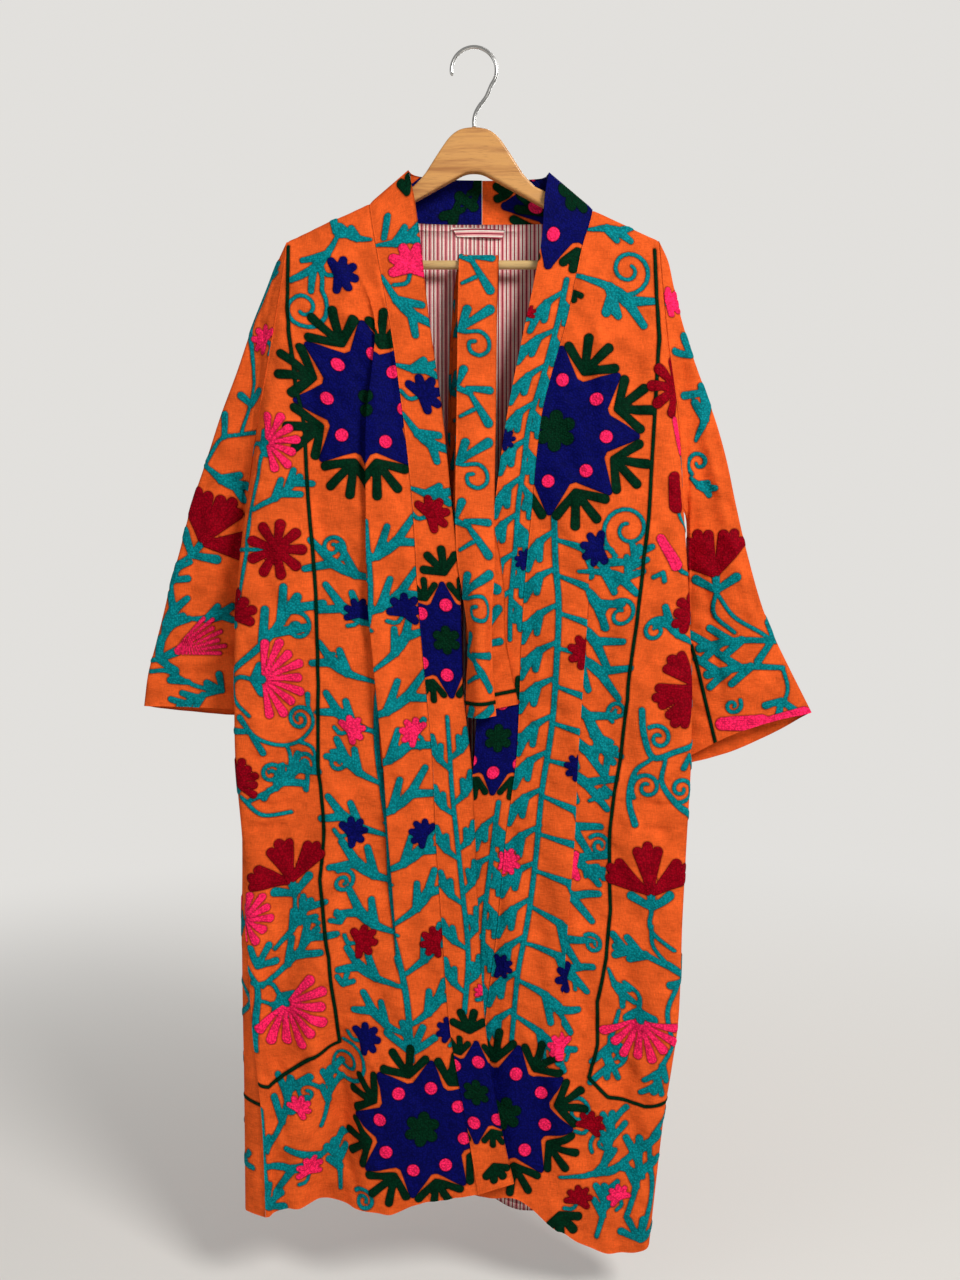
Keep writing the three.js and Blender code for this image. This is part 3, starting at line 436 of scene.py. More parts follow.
def share(*places):
    """Give the pieces that meet at a seam one direction there."""
    total = sum(q.n[i, j] for q, i, j in places)
    total = total / np.linalg.norm(total)
    for q, i, j in places:
        q.n[i, j] = total


# %% Collar bands and sleeves, cut as quilts of their own
front_right = Quilt(coarse_right)
front_left = Quilt(coarse_left, turned=True)
back = Quilt(coarse_back)
LAST, SIDE = len(COARSE_ROWS) - 1, coarse_right.shape[1] - 1
BACK_LAST = coarse_back.shape[1] - 1


def band_grid(sections, panel, neck):
    """Up the front from the hem to the shoulder, then round to the join behind the neck."""
    free = np.stack([sections["freeX"], sections["freeY"], sections["freeZ"]], 1)
    free = along(free, COARSE_ROWS)
    seam = np.concatenate([panel.p[::-1, 0], neck[1:, :3]])
    free = np.concatenate([free[::-1], neck[1:, 3:]])
    return np.stack([mix(seam, free, t) for t in (0, 1 / 3, 2 / 3, 1)], 1)


def sleeve_grid(rows, panel, side, lift):
    """A flattened tube from the armhole; lift is how much higher its front layer ends."""
    ring = np.concatenate([panel.p[:UNDERARM + 1, -1], back.p[UNDERARM - 1:0:-1, side]])
    t = np.clip((ring[0, 2] - ring[:, 2]) / (ring[0, 2] - ring[UNDERARM, 2]), 0, 1)
    j = np.arange(len(ring))
    face = np.where((j == 0) | (j == UNDERARM), 0, np.where(j < UNDERARM, -1, 1))
    grid = [ring]
    for k, r in enumerate(zip(*rows.values())):
        end = smooth((k - len(rows["deep"]) + 4) / 3)
        arc = np.sin(np.pi * t).clip(0)
        grid.append(np.stack([mix(r[0], r[3], t), mix(r[1], r[4], t) + face * r[6] * np.sqrt(arc),
                              mix(r[2], r[5], t) - face * end * lift * arc], 1))
    return np.array(grid)


neckline = np.stack(list(NECKLINE.values()), 1)
band_right = Quilt(band_grid(FRONT_RIGHT, front_right, neckline[:6]))
band_left = Quilt(band_grid(FRONT_LEFT, front_left, neckline[:4:-1]), turned=True)
sleeve_right = Quilt(sleeve_grid(SLEEVE_RIGHT, front_right, 0, CUFF_LIFT["right"]), True, True)
sleeve_left = Quilt(sleeve_grid(SLEEVE_LEFT, front_left, BACK_LAST, CUFF_LIFT["left"]), True)
print("band stations", len(band_right.p), "sleeve rings", len(sleeve_right.p))

# %% Seams: shared directions, then a hair's gap
for k, (panel, band) in enumerate(((front_right, band_right), (front_left, band_left))):
    side, inner, way = (0, 1, 1) if k == 0 else (BACK_LAST, BACK_LAST - 1, -1)
    corner = NECK_COLUMN if k == 0 else BACK_LAST - NECK_COLUMN
    for i in range(1, LAST + 1):
        share((panel, i, 0), (band, LAST - i, 0))
    share((panel, 0, 0), (band, LAST, 0), (back, 0, corner))
    for m in range(1, 6):
        share((band, LAST + m, 0), (back, 0, corner + way * m))
    panel.part_side(0, 1)
    band.part_side(0, 1)
    band.part_row(len(band.p) - 1, -1)
    ridge = panel.p[0, 0] - panel.p[0, -1]
    ridge = np.array([-ridge[2], 0, ridge[0]]) / np.hypot(ridge[0], ridge[2])
    ridge *= np.sign(ridge[2])
    panel.n[0, 1:] = ridge
    for m in range(NECK_COLUMN):
        back.n[0, side + way * m] = ridge
    panel.part_row(0, 1)
    for i in range(UNDERARM, LAST + 1):
        share((panel, i, SIDE), (back, i, side))
        panel.part(i, SIDE, i, SIDE - 1)
        back.part(i, side, i, inner)
back.part_row(0, 1)
for k, (panel, tube) in enumerate(((front_right, sleeve_right), (front_left, sleeve_left))):
    side, inner = (0, 1) if k == 0 else (BACK_LAST, BACK_LAST - 1)
    share((panel, 0, SIDE), (back, 0, side), (tube, 0, 0))
    for i in range(UNDERARM):
        if i:
            share((panel, i, SIDE), (tube, 0, i))
            share((back, i, side), (tube, 0, 2 * UNDERARM - i))
        panel.part(i, SIDE, i, SIDE - 1)
        back.part(i, side, i, inner)
    tube.part_row(0, 1)
    tube.part_row(0, 1, UNDERARM + 1)
    for d in (-1, 0, 1):
        tube.part(0, UNDERARM + d, 1, UNDERARM + d, (1 if d else 2) * 2.0)
print("widest seam gap moved", round(float(np.abs(sleeve_left.shift).max()), 2), "mm")

# %% Lining, hanging loop and belt
LINING_IN = CLOTH / 2 + SEAM + LINING / 2
LINING_COLUMNS = np.arange(2, BACK_LAST - 1)                 # places on the back's own grid
LINING_ROWS = np.concatenate([np.arange(1, LAST), [LAST - 0.12]])
sunk = np.zeros((len(LINING_ROWS), len(LINING_COLUMNS), 3))
for j, column in enumerate(LINING_COLUMNS):
    from_side = min(column, BACK_LAST - column) - NECK_COLUMN
    at = LINING_ROWS.astype(float)
    if from_side <= 1:
        at[:3] = 3.55, 3.7, 3.85
    p, n = between(back.p, at, [column])[:, 0], between(back.n, at, [column])[:, 0]
    n = n / np.linalg.norm(n, axis=-1, keepdims=True)
    deeper = np.where((np.arange(len(LINING_ROWS)) < 3) & (-1 < from_side < 3), 2.2, 0)
    sunk[:, j] = p - n * (LINING_IN + deeper)[:, None]
lining = Quilt(sunk)

LOOP_ROWS = [(-24, -182, 33.5, -185), (-18, -192, 30, -194.5)]
across = np.linspace(0, 1, 9)
loop = Quilt(np.array([np.stack([mix(r[0], r[2], across), 17.9 - 2 * np.sin(np.pi * across),
                                 mix(r[1], r[3], across)], 1) for r in LOOP_ROWS]), turned=True)

BELT_PATH = np.array([       # x, y, z, and how far it is folded, in degrees
    [7.5, -47.8, -711, 48], [6.3, -49.4, -672, 56], [6.4, -50.6, -629, 64],
    [4.4, -48.6, -586, 52], [2.6, -39.2, -543, 20], [1.0, -35.4, -510, 16],
    [1.0, -31.6, -480, 12], [2.6, -20.4, -372, 6], [3.8, -14.8, -272, 2], [4.5, -10.6, -240, 0],
    [4.8, -9.4, -227, 0], [4.9, -6.6, -220.2, 0], [4.6, 0, -217.4, 0], [3.4, 6.6, -220.2, 0],
    [2.6, 9.4, -227, 0], [-1, 10, -258, 0], [-6, 10, -330, 0], [-8, 10.2, -450, 0],
    [-7, 10.2, -545, 0], [-6, 9, -562, 0], [-5.6, 6.6, -566, 0], [-5.2, 4.2, -562, 0],
    [-5, 3.2, -545, 0], [-5, 4, -450, 0], [-3, 5, -330, 0], [1, 6.6, -258, 0], [3, 6.9, -227, 0],
    [3.6, 4.9, -221.9, 0], [4.6, 0, -219.9, 0], [5.4, -4.9, -221.9, 0], [5.4, -6.9, -227, 0],
    [5, -7.6, -240, 0], [4, -10.2, -272, 0], [2.2, -14.4, -372, 0], [-0.8, -23.4, -480, 0],
    [0.6, -26.2, -510, 0], [7, -27.6, -543, 0], [12, -28.2, -586, 0], [13, -28.5, -629, 0],
    [21, -29, -672, 0], [27, -29.6, -702, 0]])
BELT_WIDTH, BELT_HALF = 42, 5            # width, and how many steps to each side of its middle
BELT_FOLD = 7                            # the fold is spread over this far from the middle


def belt_grid(path):
    """A cross-section at each station, folded lengthwise about its middle."""
    grid, last = [], len(path) - 1
    for i, (x, y, z, fold) in enumerate(path):
        way = path[min(i + 1, last), :3] - path[max(i - 1, 0), :3]
        way = way / np.linalg.norm(way)
        side = np.array([1.0, 0, 0]) - way * way[0]
        side /= np.linalg.norm(side)
        face = np.cross(side, way)
        face *= 1 if face[1] > 0 else -1
        step = BELT_WIDTH / 2 / BELT_HALF
        bend = math.radians(fold) * np.minimum(1, (np.arange(BELT_HALF) + 0.5) * step / BELT_FOLD)
        u, w = np.cumsum(np.cos(bend)) * step, np.cumsum(np.sin(bend)) * step
        u, w = np.concatenate([-u[::-1], [0], u]), np.concatenate([w[::-1], [0], w])
        grid.append(np.array([x, y, z]) + u[:, None] * side + w[:, None] * face)
    return np.array(grid)


belt = Quilt(belt_grid(BELT_PATH))
print("belt length", round(run(belt.p, 0)[-1]), "mm")

# %% [markdown]
# ## Flat places on the cloth
# A maker embroiders each piece flat, before it is sewn up. So each fine quilt also gets flat
# coordinates in millimetres: s runs to the right and t runs down as the piece is worn. They
# follow the cloth through its folds, which keeps motifs and stripes from stretching.

# %% Flat coordinates, and the places that the photo shows
def lay_flat(q, across_from=0):
    """Flat s and t of a quilt; across_from is the column that keeps its own x."""
    step, drop = np.diff(q.p, axis=1), np.diff(q.p, axis=0)
    way = np.sign(np.median(step[..., 0])) or 1
    s = np.insert(np.cumsum(np.hypot(step[..., 0], step[..., 1]), 1), 0, 0, 1)
    q.s = q.p[:, across_from:][:, :1, 0] + way * (s - s[:, across_from:][:, :1])
    t = np.insert(np.cumsum(np.hypot(drop[..., 1], drop[..., 2]), 0), 0, 0, 0)
    q.t = t - q.p[:1, :, 2]


def lay_strip(q, way):
    """Flat s and t of a long strip: s across it from its first edge, t from its last row up."""
    wide = np.linalg.norm(np.diff(q.p, axis=1), axis=-1)
    q.s = way * np.insert(np.cumsum(wide, 1), 0, 0, 1)
    length = run(q.p, 0)
    q.t = np.repeat((length[-1] - length)[:, None], q.p.shape[1], 1)


REAR_AT, BETWEEN = 1000.0, 600         # where the rear layer lies, and what parts the layers


def lay_tube(q):
    """A flattened sleeve: its front layer at s = x, its rear layer a metre further along."""
    q.rear = q.n[..., 1] > 0
    q.s = q.p[..., 0] + np.where(q.rear, REAR_AT, 0.0)
    q.t = -q.p[..., 2]


fine = {          # how far apart the points are, down and across, in millimetres
    "front_right": front_right.finer(1.9, 1.85), "front_left": front_left.finer(1.9, 1.85),
    "back": back.finer(2.7, 2.7), "sleeve_right": sleeve_right.finer(2.1, 2.1),
    "sleeve_left": sleeve_left.finer(2.1, 2.1), "collar_band_right": band_right.finer(2.0, 1.9),
    "collar_band_left": band_left.finer(2.0, 1.9), "lining_back": lining.finer(9, 7),
    "hanging_loop": loop.finer(1.6, 1.6), "belt": belt.finer(2.0, 2.0)}
FRONTS = ("front_right", "front_left")
SLEEVES = ("sleeve_right", "sleeve_left")
BANDS = ("collar_band_right", "collar_band_left")
for name in FRONTS:
    lay_flat(fine[name])
for name in ("back", "lining_back", "hanging_loop"):
    lay_flat(fine[name], fine[name].p.shape[1] // 2)
for name, way in (("collar_band_right", 1), ("collar_band_left", -1), ("belt", 1)):
    lay_strip(fine[name], way)
fine["belt"].s = fine["belt"].s - BELT_WIDTH / 2
for name in SLEEVES:
    lay_tube(fine[name])


class Places:
    """Finds the flat place on a piece that the photo shows at a pixel."""

    def __init__(self, q, seen=None, behind=False):
        seen = np.ones(q.p.shape[:2], bool) if seen is None else seen
        # places behind are looked up as if the robe could be seen through
        self.pixels = project(q.p * [1, 0, 1] if behind else q.p)[seen]
        self.flat = np.stack([q.s[seen], q.t[seen]], 1)

    def __call__(self, x, y):
        return self.flat[np.argmin(np.sum((self.pixels - (x, y)) ** 2, 1))]

    def line(self, *points):
        return np.array([self(x, y) for x, y in points])


for name, q in fine.items():
    print(name, q.p.shape[:2], "flat", round(float(np.ptp(q.s))), "x", round(float(np.ptp(q.t))))

# %% [markdown]
# ## Creases and soft waves
# Hung cotton keeps long shallow waves, plus a few sharper creases where it was folded or
# where a pocket pulls. Each crease is a line on the cloth with its own width and depth,
# given one by one, with similar ones on the back: simulated cloth would fall in folds of its
# own. A little seeded unevenness keeps the rest from looking ironed.

# %% Push creases into the cloth
def from_line(q, line):
    """Distance of every point of a piece from a line of flat places, and how far along."""
    best, at = np.full(q.s.shape, 1e9), np.zeros(q.s.shape)
    for k, (a, b) in enumerate(zip(line[:-1], line[1:])):
        d = b - a
        h = np.clip(((q.s - a[0]) * d[0] + (q.t - a[1]) * d[1]) / max(d @ d, 1e-6), 0, 1)
        gap = np.hypot(q.s - a[0] - h * d[0], q.t - a[1] - h * d[1])
        nearer = gap < best
        best, at = np.where(nearer, gap, best), np.where(nearer, (k + h) / (len(line) - 1), at)
    return best, at


def crease(q, line, width, depth, rear=None):
    """A soft trough (depth above 0) or ridge along a line, fading at both its ends."""
    gap, at = from_line(q, line)
    fade = smooth(at * 4) * smooth((1 - at) * 4)
    move = -depth * np.exp(-(gap / width) ** 2) * fade
    q.lift += move if rear is None else np.where(q.rear == rear, move, 0)


def uneven(q, seed, size, spread=(95, 260)):
    """Low waves in the cloth, longer down than across."""
    dice = np.random.default_rng(seed)
    for _ in range(9):
        wide, tall = spread[0] * dice.uniform(0.5, 1.3), spread[1] * dice.uniform(0.4, 1.2)
        q.lift += size / 3 * np.sin(2 * math.pi * (q.s / wide + q.t / tall * dice.choice((-1, 1)))
                                    + dice.uniform(0, 6.3)) * dice.uniform(0.5, 1)


FINE_STEP = 2.1              # millimetres between the points of a fine quilt, about


def from_edges(q, sides):
    """Distance of every point of a piece from some of its edges, one grid for each edge."""
    i, j = np.indices(q.p.shape[:2])
    steps_in = {"top": i, "first": j, "last": q.p.shape[1] - 1 - j}
    return [steps_in[side] * FINE_STEP for side in sides]


def hush_edges(q, sides, reach=14):
    """Keep the moves away from the seams of a piece, so that its neighbours still meet it."""
    for far in from_edges(q, sides):
        q.lift *= smooth(far / reach)


def calm(q, turned, reach):
    """Still the waves where the cloth turns away or doubles, so that its layers don't cross."""
    count = q.p.shape[1]
    step, columns = run(q.p, 1)[-1] / (count - 1), np.arange(count)
    for row, apart in zip(turned, q.apart):
        gap = np.abs(columns[:, None] - columns[row])
        if gap.size:
            apart[:] = (np.minimum(gap, count - gap) if q.loop else gap).min(1) * step
    q.lift *= smooth((q.apart - 3) / reach)


CREASES = {      # width and depth in millimetres, and the line in pixels
    "front_right": [
      (5, 2.6, [(243, 752), (262, 760), (290, 752), (318, 757)]),
      (5, 2.2, [(236, 775), (262, 784), (300, 779), (326, 788)]),
      (4, 2, [(240, 800), (270, 806), (306, 800)]),
      (5, 2.4, [(238, 826), (268, 829), (292, 822)]),
      (9, 3, [(300, 300), (310, 400), (318, 520), (316, 640)]),
      (8, -2, [(345, 260), (352, 330), (346, 420)]),
      (10, 2.6, [(352, 880), (344, 980), (338, 1080), (336, 1180)]),
      (8, -2.4, [(318, 930), (312, 1020), (306, 1120), (306, 1190)]),
      (7, 1.6, [(398, 640), (402, 720), (412, 800)]),
      (6, 1.5, [(262, 880), (270, 960), (272, 1060)]),
      (6, 1.6, [(283, 1075), (310, 1100), (345, 1108)]),
      (5, 1.2, [(372, 520), (396, 540), (404, 532)])],
    "front_left": [
      (5, 2.2, [(690, 772), (668, 782), (640, 776)]),
      (4, 2, [(688, 797), (662, 806), (632, 800), (612, 806)]),
      (5, 2, [(688, 826), (660, 832), (634, 826)]),
      (9, 2.6, [(640, 290), (636, 400), (640, 520), (634, 640)]),
      (7, -2.2, [(604, 250), (598, 340), (604, 450), (600, 560)]),
      (8, 2.4, [(592, 840), (586, 930), (582, 1040), (578, 1180)]),
      (9, -2.2, [(548, 900), (552, 1000), (560, 1100), (566, 1200)]),
      (8, 2, [(628, 900), (630, 1010), (622, 1120), (618, 1230)]),
      (6, 1.4, [(540, 620), (560, 640), (584, 636)]),
      (6, 1.4, [(545, 700), (566, 716), (596, 708)])],
    "back": [
      (9, 3, [(300, 330), (292, 480), (286, 700)]),
      (8, -2.2, [(380, 300), (390, 430), (382, 600)]),
      (10, 2.8, [(470, 420), (462, 620), (468, 860)]),
      (8, 2.2, [(560, 340), (572, 480), (566, 640)]),
      (9, -2.6, [(620, 620), (628, 820), (612, 1080)]),
      (8, 2, [(350, 820), (342, 980), (350, 1180)]),
      (5, 2.2, [(246, 760), (280, 770), (318, 762)]),
      (5, 2, [(246, 800), (276, 812), (300, 806)]),
      (5, 2.2, [(690, 770), (660, 780), (630, 774)]),
      (5, 1.8, [(688, 812), (660, 820), (640, 814)]),
      (6, 1.8, [(420, 240), (480, 262), (545, 240)])],
    "collar_band_right": [
      (7, 1.2, [(555, 300), (546, 340), (536, 380)])],
    "collar_band_left": [
      (6, 1.2, [(398, 300), (404, 360), (414, 420)]),
      (7, -1.4, [(455, 760), (460, 860), (466, 960)]),
      (6, 1.4, [(470, 1060), (484, 1120), (494, 1170)])]}
SLEEVE_CREASES = {
    "sleeve_right": [
      (7, 5, [(168, 640), (190, 646), (212, 634), (234, 612)]),
      (6, -3, [(164, 656), (190, 664), (216, 658), (236, 640)]),
      (8, 3, [(268, 300), (250, 380), (232, 470), (216, 560)]),
      (6, 2.2, [(276, 420), (252, 500), (232, 560)]),
      (6, 2.2, [(205, 480), (196, 550), (190, 610)])],
    "sleeve_left": [
      (8, 3.2, [(668, 300), (690, 400), (712, 520), (730, 640)]),
      (6, -2.6, [(690, 380), (716, 480), (738, 570), (764, 660)]),
      (6, 2.6, [(700, 560), (714, 640), (724, 720)]),
      (5, 2, [(696, 470), (716, 500), (738, 506)])]}
seen = {name: Places(q) for name, q in fine.items() if "sleeve" not in name}
seen["back"] = Places(fine["back"], behind=True)
for name in BANDS:
    seen[name] = Places(fine[name], fine[name].n[..., 1] < 0)
    seen[name + "_neck"] = Places(fine[name], fine[name].n[..., 1] > 0.3)
for name in SLEEVES:
    seen[name] = Places(fine[name], ~fine[name].rear)
    seen[name + "_rear"] = Places(fine[name], fine[name].rear, behind=True)
for name, rows in CREASES.items():
    for width, depth, line in rows:
        crease(fine[name], seen[name].line(*line), width, depth)
for name, rows in SLEEVE_CREASES.items():
    for width, depth, line in rows:
        crease(fine[name], seen[name].line(*line), width, depth, False)
        crease(fine[name], seen[name + "_rear"].line(*line), width * 1.2, depth * 0.7, True)
for seed, (name, size) in enumerate({"front_right": 2.2, "front_left": 2.2, "back": 2.6,
                                     "sleeve_right": 2.0, "sleeve_left": 2.0}.items()):
    uneven(fine[name], 20 + seed, size)
    uneven(fine[name], 40 + seed, size * 0.36, (34, 52))
    hush_edges(fine[name], ("top",) if name in SLEEVES else ("top", "first", "last"))
for name, facing in (("front_right", -1), ("front_left", -1), ("back", 1)):
    calm(fine[name], fine[name].n[..., 1] * facing < 0.3, 14)
for name in SLEEVES:
    calm(fine[name], np.abs(fine[name].n[..., 1]) < 0.6, 16)
for name in BANDS:
    hush_edges(fine[name], ("first",), 10)
    fine[name].lift *= 0.8

# %% The lining follows the back, a little further in than the cloth around each place
outer, inner, REACH = fine["back"], fine["lining_back"], 3
outer.lift = np.where(outer.lift < 0, 0.45 * outer.lift, outer.lift)
near = np.pad(outer.lift, REACH, mode="edge")
high, wide = outer.lift.shape
lowest = np.min([near[a:a + high, b:b + wide] for a in range(2 * REACH + 1)
                 for b in range(2 * REACH + 1)], 0)
row_at = np.interp(inner.rows_at, np.arange(len(LINING_ROWS)), LINING_ROWS)
column_at = np.interp(inner.columns_at, np.arange(len(LINING_COLUMNS)), LINING_COLUMNS)
inner.lift = between(lowest[..., None],
                     np.interp(row_at, outer.rows_at, np.arange(high)),
                     np.interp(column_at, outer.columns_at, np.arange(wide)))[..., 0] - SEAM
print("deepest crease", {n: round(float(np.abs(q.lift).max()), 1) for n, q in fine.items()})

# %% [markdown]
# ## Embroidery
# The cloth is covered in hand embroidery of the kind long made for hangings and robes: vines
# with lobed leaves, eight-pointed stars, fans, small flowers and curls, filled with close rows
# of chain stitch. Every motif is built from tapered strokes in the flat plane of its piece.
# For each thread colour the mesh keeps how far inside a stroke each point lies, and the
# material turns that into crisp edges and rows of stitches, while the cloth itself rises
# under the thread. This keeps the edges sharp with a mesh of 2 mm, and needs no image.

# %% Strokes of thread
THREADS = ("teal", "blue", "green", "crimson", "pink")


def reach_to(angle, length):
    """A step on the flat cloth: angle clockwise from straight up, in degrees."""
    a = math.radians(angle)
    return np.array([math.sin(a), -math.cos(a)]) * length


class Threadwork:
    """The strokes of embroidery on one piece."""

    def __init__(self):
        self.strokes = {colour: [] for colour in THREADS}

    def stroke(self, colour, points, wide, tip=None):
        points = np.asarray(points, float)
        radius = np.linspace(wide, wide if tip is None else tip, len(points))
        for a, b, ra, rb in zip(points[:-1], points[1:], radius[:-1], radius[1:]):
            self.strokes[colour].append((*a, *b, ra, rb))

    def inside(self, q, colour):
        """How far inside the strokes of one colour each point lies, in millimetres."""
        field = np.full(q.s.shape, -3.0)
        low_s, high_s, low_t, high_t = q.s.min(0), q.s.max(0), q.t.min(1), q.t.max(1)
        for ax, ay, bx, by, ra, rb in self.strokes[colour]:
            m = max(ra, rb) + 3
            rows = np.nonzero((high_t > min(ay, by) - m) & (low_t < max(ay, by) + m))[0]
            columns = np.nonzero((high_s > min(ax, bx) - m) & (low_s < max(ax, bx) + m))[0]
            if not len(rows) or not len(columns):
                continue
            window = (slice(rows[0], rows[-1] + 1), slice(columns[0], columns[-1] + 1))
            s, t, dx, dy = q.s[window] - ax, q.t[window] - ay, bx - ax, by - ay
            h = np.clip((s * dx + t * dy) / max(dx * dx + dy * dy, 1e-6), 0, 1)
            d = mix(ra, rb, h) - np.hypot(s - h * dx, t - h * dy)
            np.maximum(field[window], d, out=field[window])
        return field


def eased(points, count=None):
    points = np.asarray(points, float)
    return along(points, np.linspace(0, len(points) - 1, count or 5 * len(points)))


# %% [markdown]
# The motifs come next, each a short function of a place, a direction and a size in
# millimetres. Lobes are tapered strokes with round ends, as a needle follows them.

# %% Leaves, limbs and vines
def fingers(work, colour, at, angle, size, count, spread, thin, thick):
    """Tapered fingers that spread from one place."""
    for a in np.linspace(-spread, spread, count) if count > 1 else [0]:
        length = size * (1 - 0.16 * abs(a) / max(spread, 1))
        work.stroke(colour, [at, at + reach_to(angle + a, length)], thin, thick)


def heading(start, end):
    """Direction from one flat place to another, in degrees, and the distance."""
    way = end - start
    return math.degrees(math.atan2(way[0], -way[1])), float(np.linalg.norm(way))


LOBES = ((3, 40, 0.37), (5, 24, 0.36), (5, -34, 0.32))     # place, turn and length of each


def bowed(start, end, aside, share):
    """Eight places from start to end, bent to one side by a share of the distance."""
    angle, length = heading(start, end)
    return eased([start, (start + end) / 2 + reach_to(angle + aside, share * length), end], 8)


def limb(work, start, end, side, wide=4.6):
    """A bent arm that thickens outward and ends in lobes, like an antler."""
    angle, length = heading(start, end)
    bow = bowed(start, end, -90 * side, 0.10)
    work.stroke("teal", bow[:6], wide * 0.45, wide * 1.3)
    for place, turn, long in LOBES:
        tip = bow[place] + reach_to(angle + side * turn, long * length)
        work.stroke("teal", [bow[place], tip], wide * 1.12, wide * 0.82)


def sprig(work, start, end, wide):
    """A leafy sprig: a stalk with lobes on both sides and one at its tip."""
    angle, length = heading(start, end)
    bow = bowed(start, end, 90, 0.06)
    work.stroke("teal", bow, wide * 0.6, wide)
    for place, turn in ((3, -38), (4, 38), (5, -38), (6, 38)):
        work.stroke("teal", [bow[place], bow[place] + reach_to(angle + turn, 0.34 * length)],
                    wide, wide * 0.86)


def curl(work, start, centre, turns, way, wide=2.4):
    """A stalk that runs into a tight spiral."""
    first = start - centre
    radius, a0 = float(np.linalg.norm(first)), math.atan2(first[1], first[0])
    t = np.linspace(0, 1, 26)
    r = radius * (1 - 0.80 * t ** 0.8)
    a = a0 + way * turns * 2 * math.pi * t
    work.stroke("teal", centre + np.stack([r * np.cos(a), r * np.sin(a)], 1), wide, wide * 0.85)


def ladder(work, at, stem, gap, left, right, wide, offset=0.4, thick=3.5):
    """A vine: a stem through pixels, with a limb on each side at every gap; left and right
    give where a limb ends, in pixels from where it starts."""
    line = eased(stem, 12 * len(stem))
    work.stroke("teal", eased([at(x, y) for x, y in stem]), thick, thick * 0.8)
    leap = np.concatenate([[0], np.cumsum(np.linalg.norm(np.diff(line, axis=0), axis=1))])
    for k in range(int(leap[-1] / gap)):
        for lag, step, side in ((0, left, -1), (0.22, right, 1)):
            place = (k + offset + lag) * gap
            if place > leap[-1]:
                continue
            x, y = (np.interp(place, leap, line[:, i]) for i in (0, 1))
            more = 1 + 0.13 * math.sin(2.3 * k + side)
            end = at(x + step[0] * more, y + step[1] * (2.2 - more))
            limb(work, at(x, y), end, -side if step[1] < 0 else side, wide)


# %% Stars, flowers and fans
def star(work, at, size, turn, sprigs=1.0):
    """An eight-pointed star with a ring of dots, and a lobed leaf in each of its corners."""
    work.stroke("blue", [at, at + (0.1, 0)], 0.66 * size)
    for k in range(8):
        a = turn + 45 * k
        work.stroke("blue", [at + reach_to(a, 0.42 * size), at + reach_to(a, 0.95 * size)],
                    0.32 * size, 0.055 * size)
        work.stroke("pink", [at + reach_to(a + 4, far * size) for far in (0.60, 0.605)], 6.9)
        fingers(work, "green", at + reach_to(a + 22.5, 0.77 * size), a + 22.5,
                0.42 * size * sprigs, 4, 58, 0.045 * size, 0.058 * size)
    for k in range(6):
        work.stroke("green", [at, at + reach_to(60 * k + turn, 0.17 * size)],
                    0.06 * size, 0.08 * size)


def small_flower(work, colour, at, size, angle):
    """A little flower seen from the side, on a bent stalk."""
    for a in np.linspace(-112, 112, 6):
        work.stroke(colour, [at + reach_to(angle + a, far * size) for far in (0.1, 0.86)],
                    0.32 * size, 0.235 * size)
    bent = [at - reach_to(angle + a, far * size) for a, far in ((0, 0.2), (12, 0.8), (40, 1.2))]
    work.stroke("teal", eased(bent, 6), 2.3)


def fan(work, colour, at, size, angle, petals, spread):
    """Half a daisy: long petals, close together, from a small calyx."""
    tip = (0.30 if colour == "pink" else 0.37) * size * math.radians(2 * spread / (petals - 1))
    for k, a in enumerate(np.linspace(-spread, spread, petals)):
        long = size * (1.04 if k % 2 else 0.94) - tip
        work.stroke(colour, [at + reach_to(angle + a, far) for far in (0.12 * size, long)],
                    0.25 * tip, tip)
    calyx(work, at, size * 0.7, angle)


def calyx(work, at, size, angle):
    """The leaves that hold a flower, and the first stretch of its stalk."""
    foot = at - reach_to(angle, 0.30 * size)
    for a in (-58, 0, 58):
        work.stroke("teal", [foot, foot + reach_to(angle + a, 0.50 * size)], 3.6, 5.2)
    work.stroke("teal", eased([foot, foot - reach_to(angle + 10, 0.5 * size),
                               foot - reach_to(angle - 20, 1.0 * size)], 8), 2.5, 2.3)


def carnation(work, colour, at, size, angle, lobes=(-54, 0, 54)):
    """Broad wedges with scalloped ends on a three-fingered calyx."""
    for lobe in lobes:
        for k in (-1, 0, 1):
            long = size * (0.88 if k else 0.96) * (0.94 if lobe else 1)
            work.stroke(colour, [at + reach_to(angle + lobe, 0.08 * size),
                                 at + reach_to(angle + lobe + 13 * k, long)],
                        0.06 * size, 0.104 * size)
    calyx(work, at, size * 0.9, angle)


def daisy(work, colour, at, size, angle):
    """Nine petals all round, on a straight stalk."""
    for k in range(9):
        work.stroke(colour, [at, at + reach_to(angle + 40 * k, 0.84 * size)],
                    0.10 * size, 0.18 * size)
    work.stroke("teal", [at, at - reach_to(angle, 1.5 * size)], 2.2)


# %% [markdown]
# ## Where the motifs go
# The places are read off the photo, in its pixels, and each is turned into a flat
# place on the piece that shows there. Each thread and kind of motif has its own list. A row
# gives a place or two, and then sizes in millimetres and angles in degrees, in the order that
# the motif's function takes them. The rear of the robe isn't in the photo, so it repeats the
# same garden of motifs, as such robes do, with stars up its middle.

# %% A short language for placing motifs
def bud(work, colour, start, end, wide):
    work.stroke(colour, [start, end], wide * 0.8, wide)


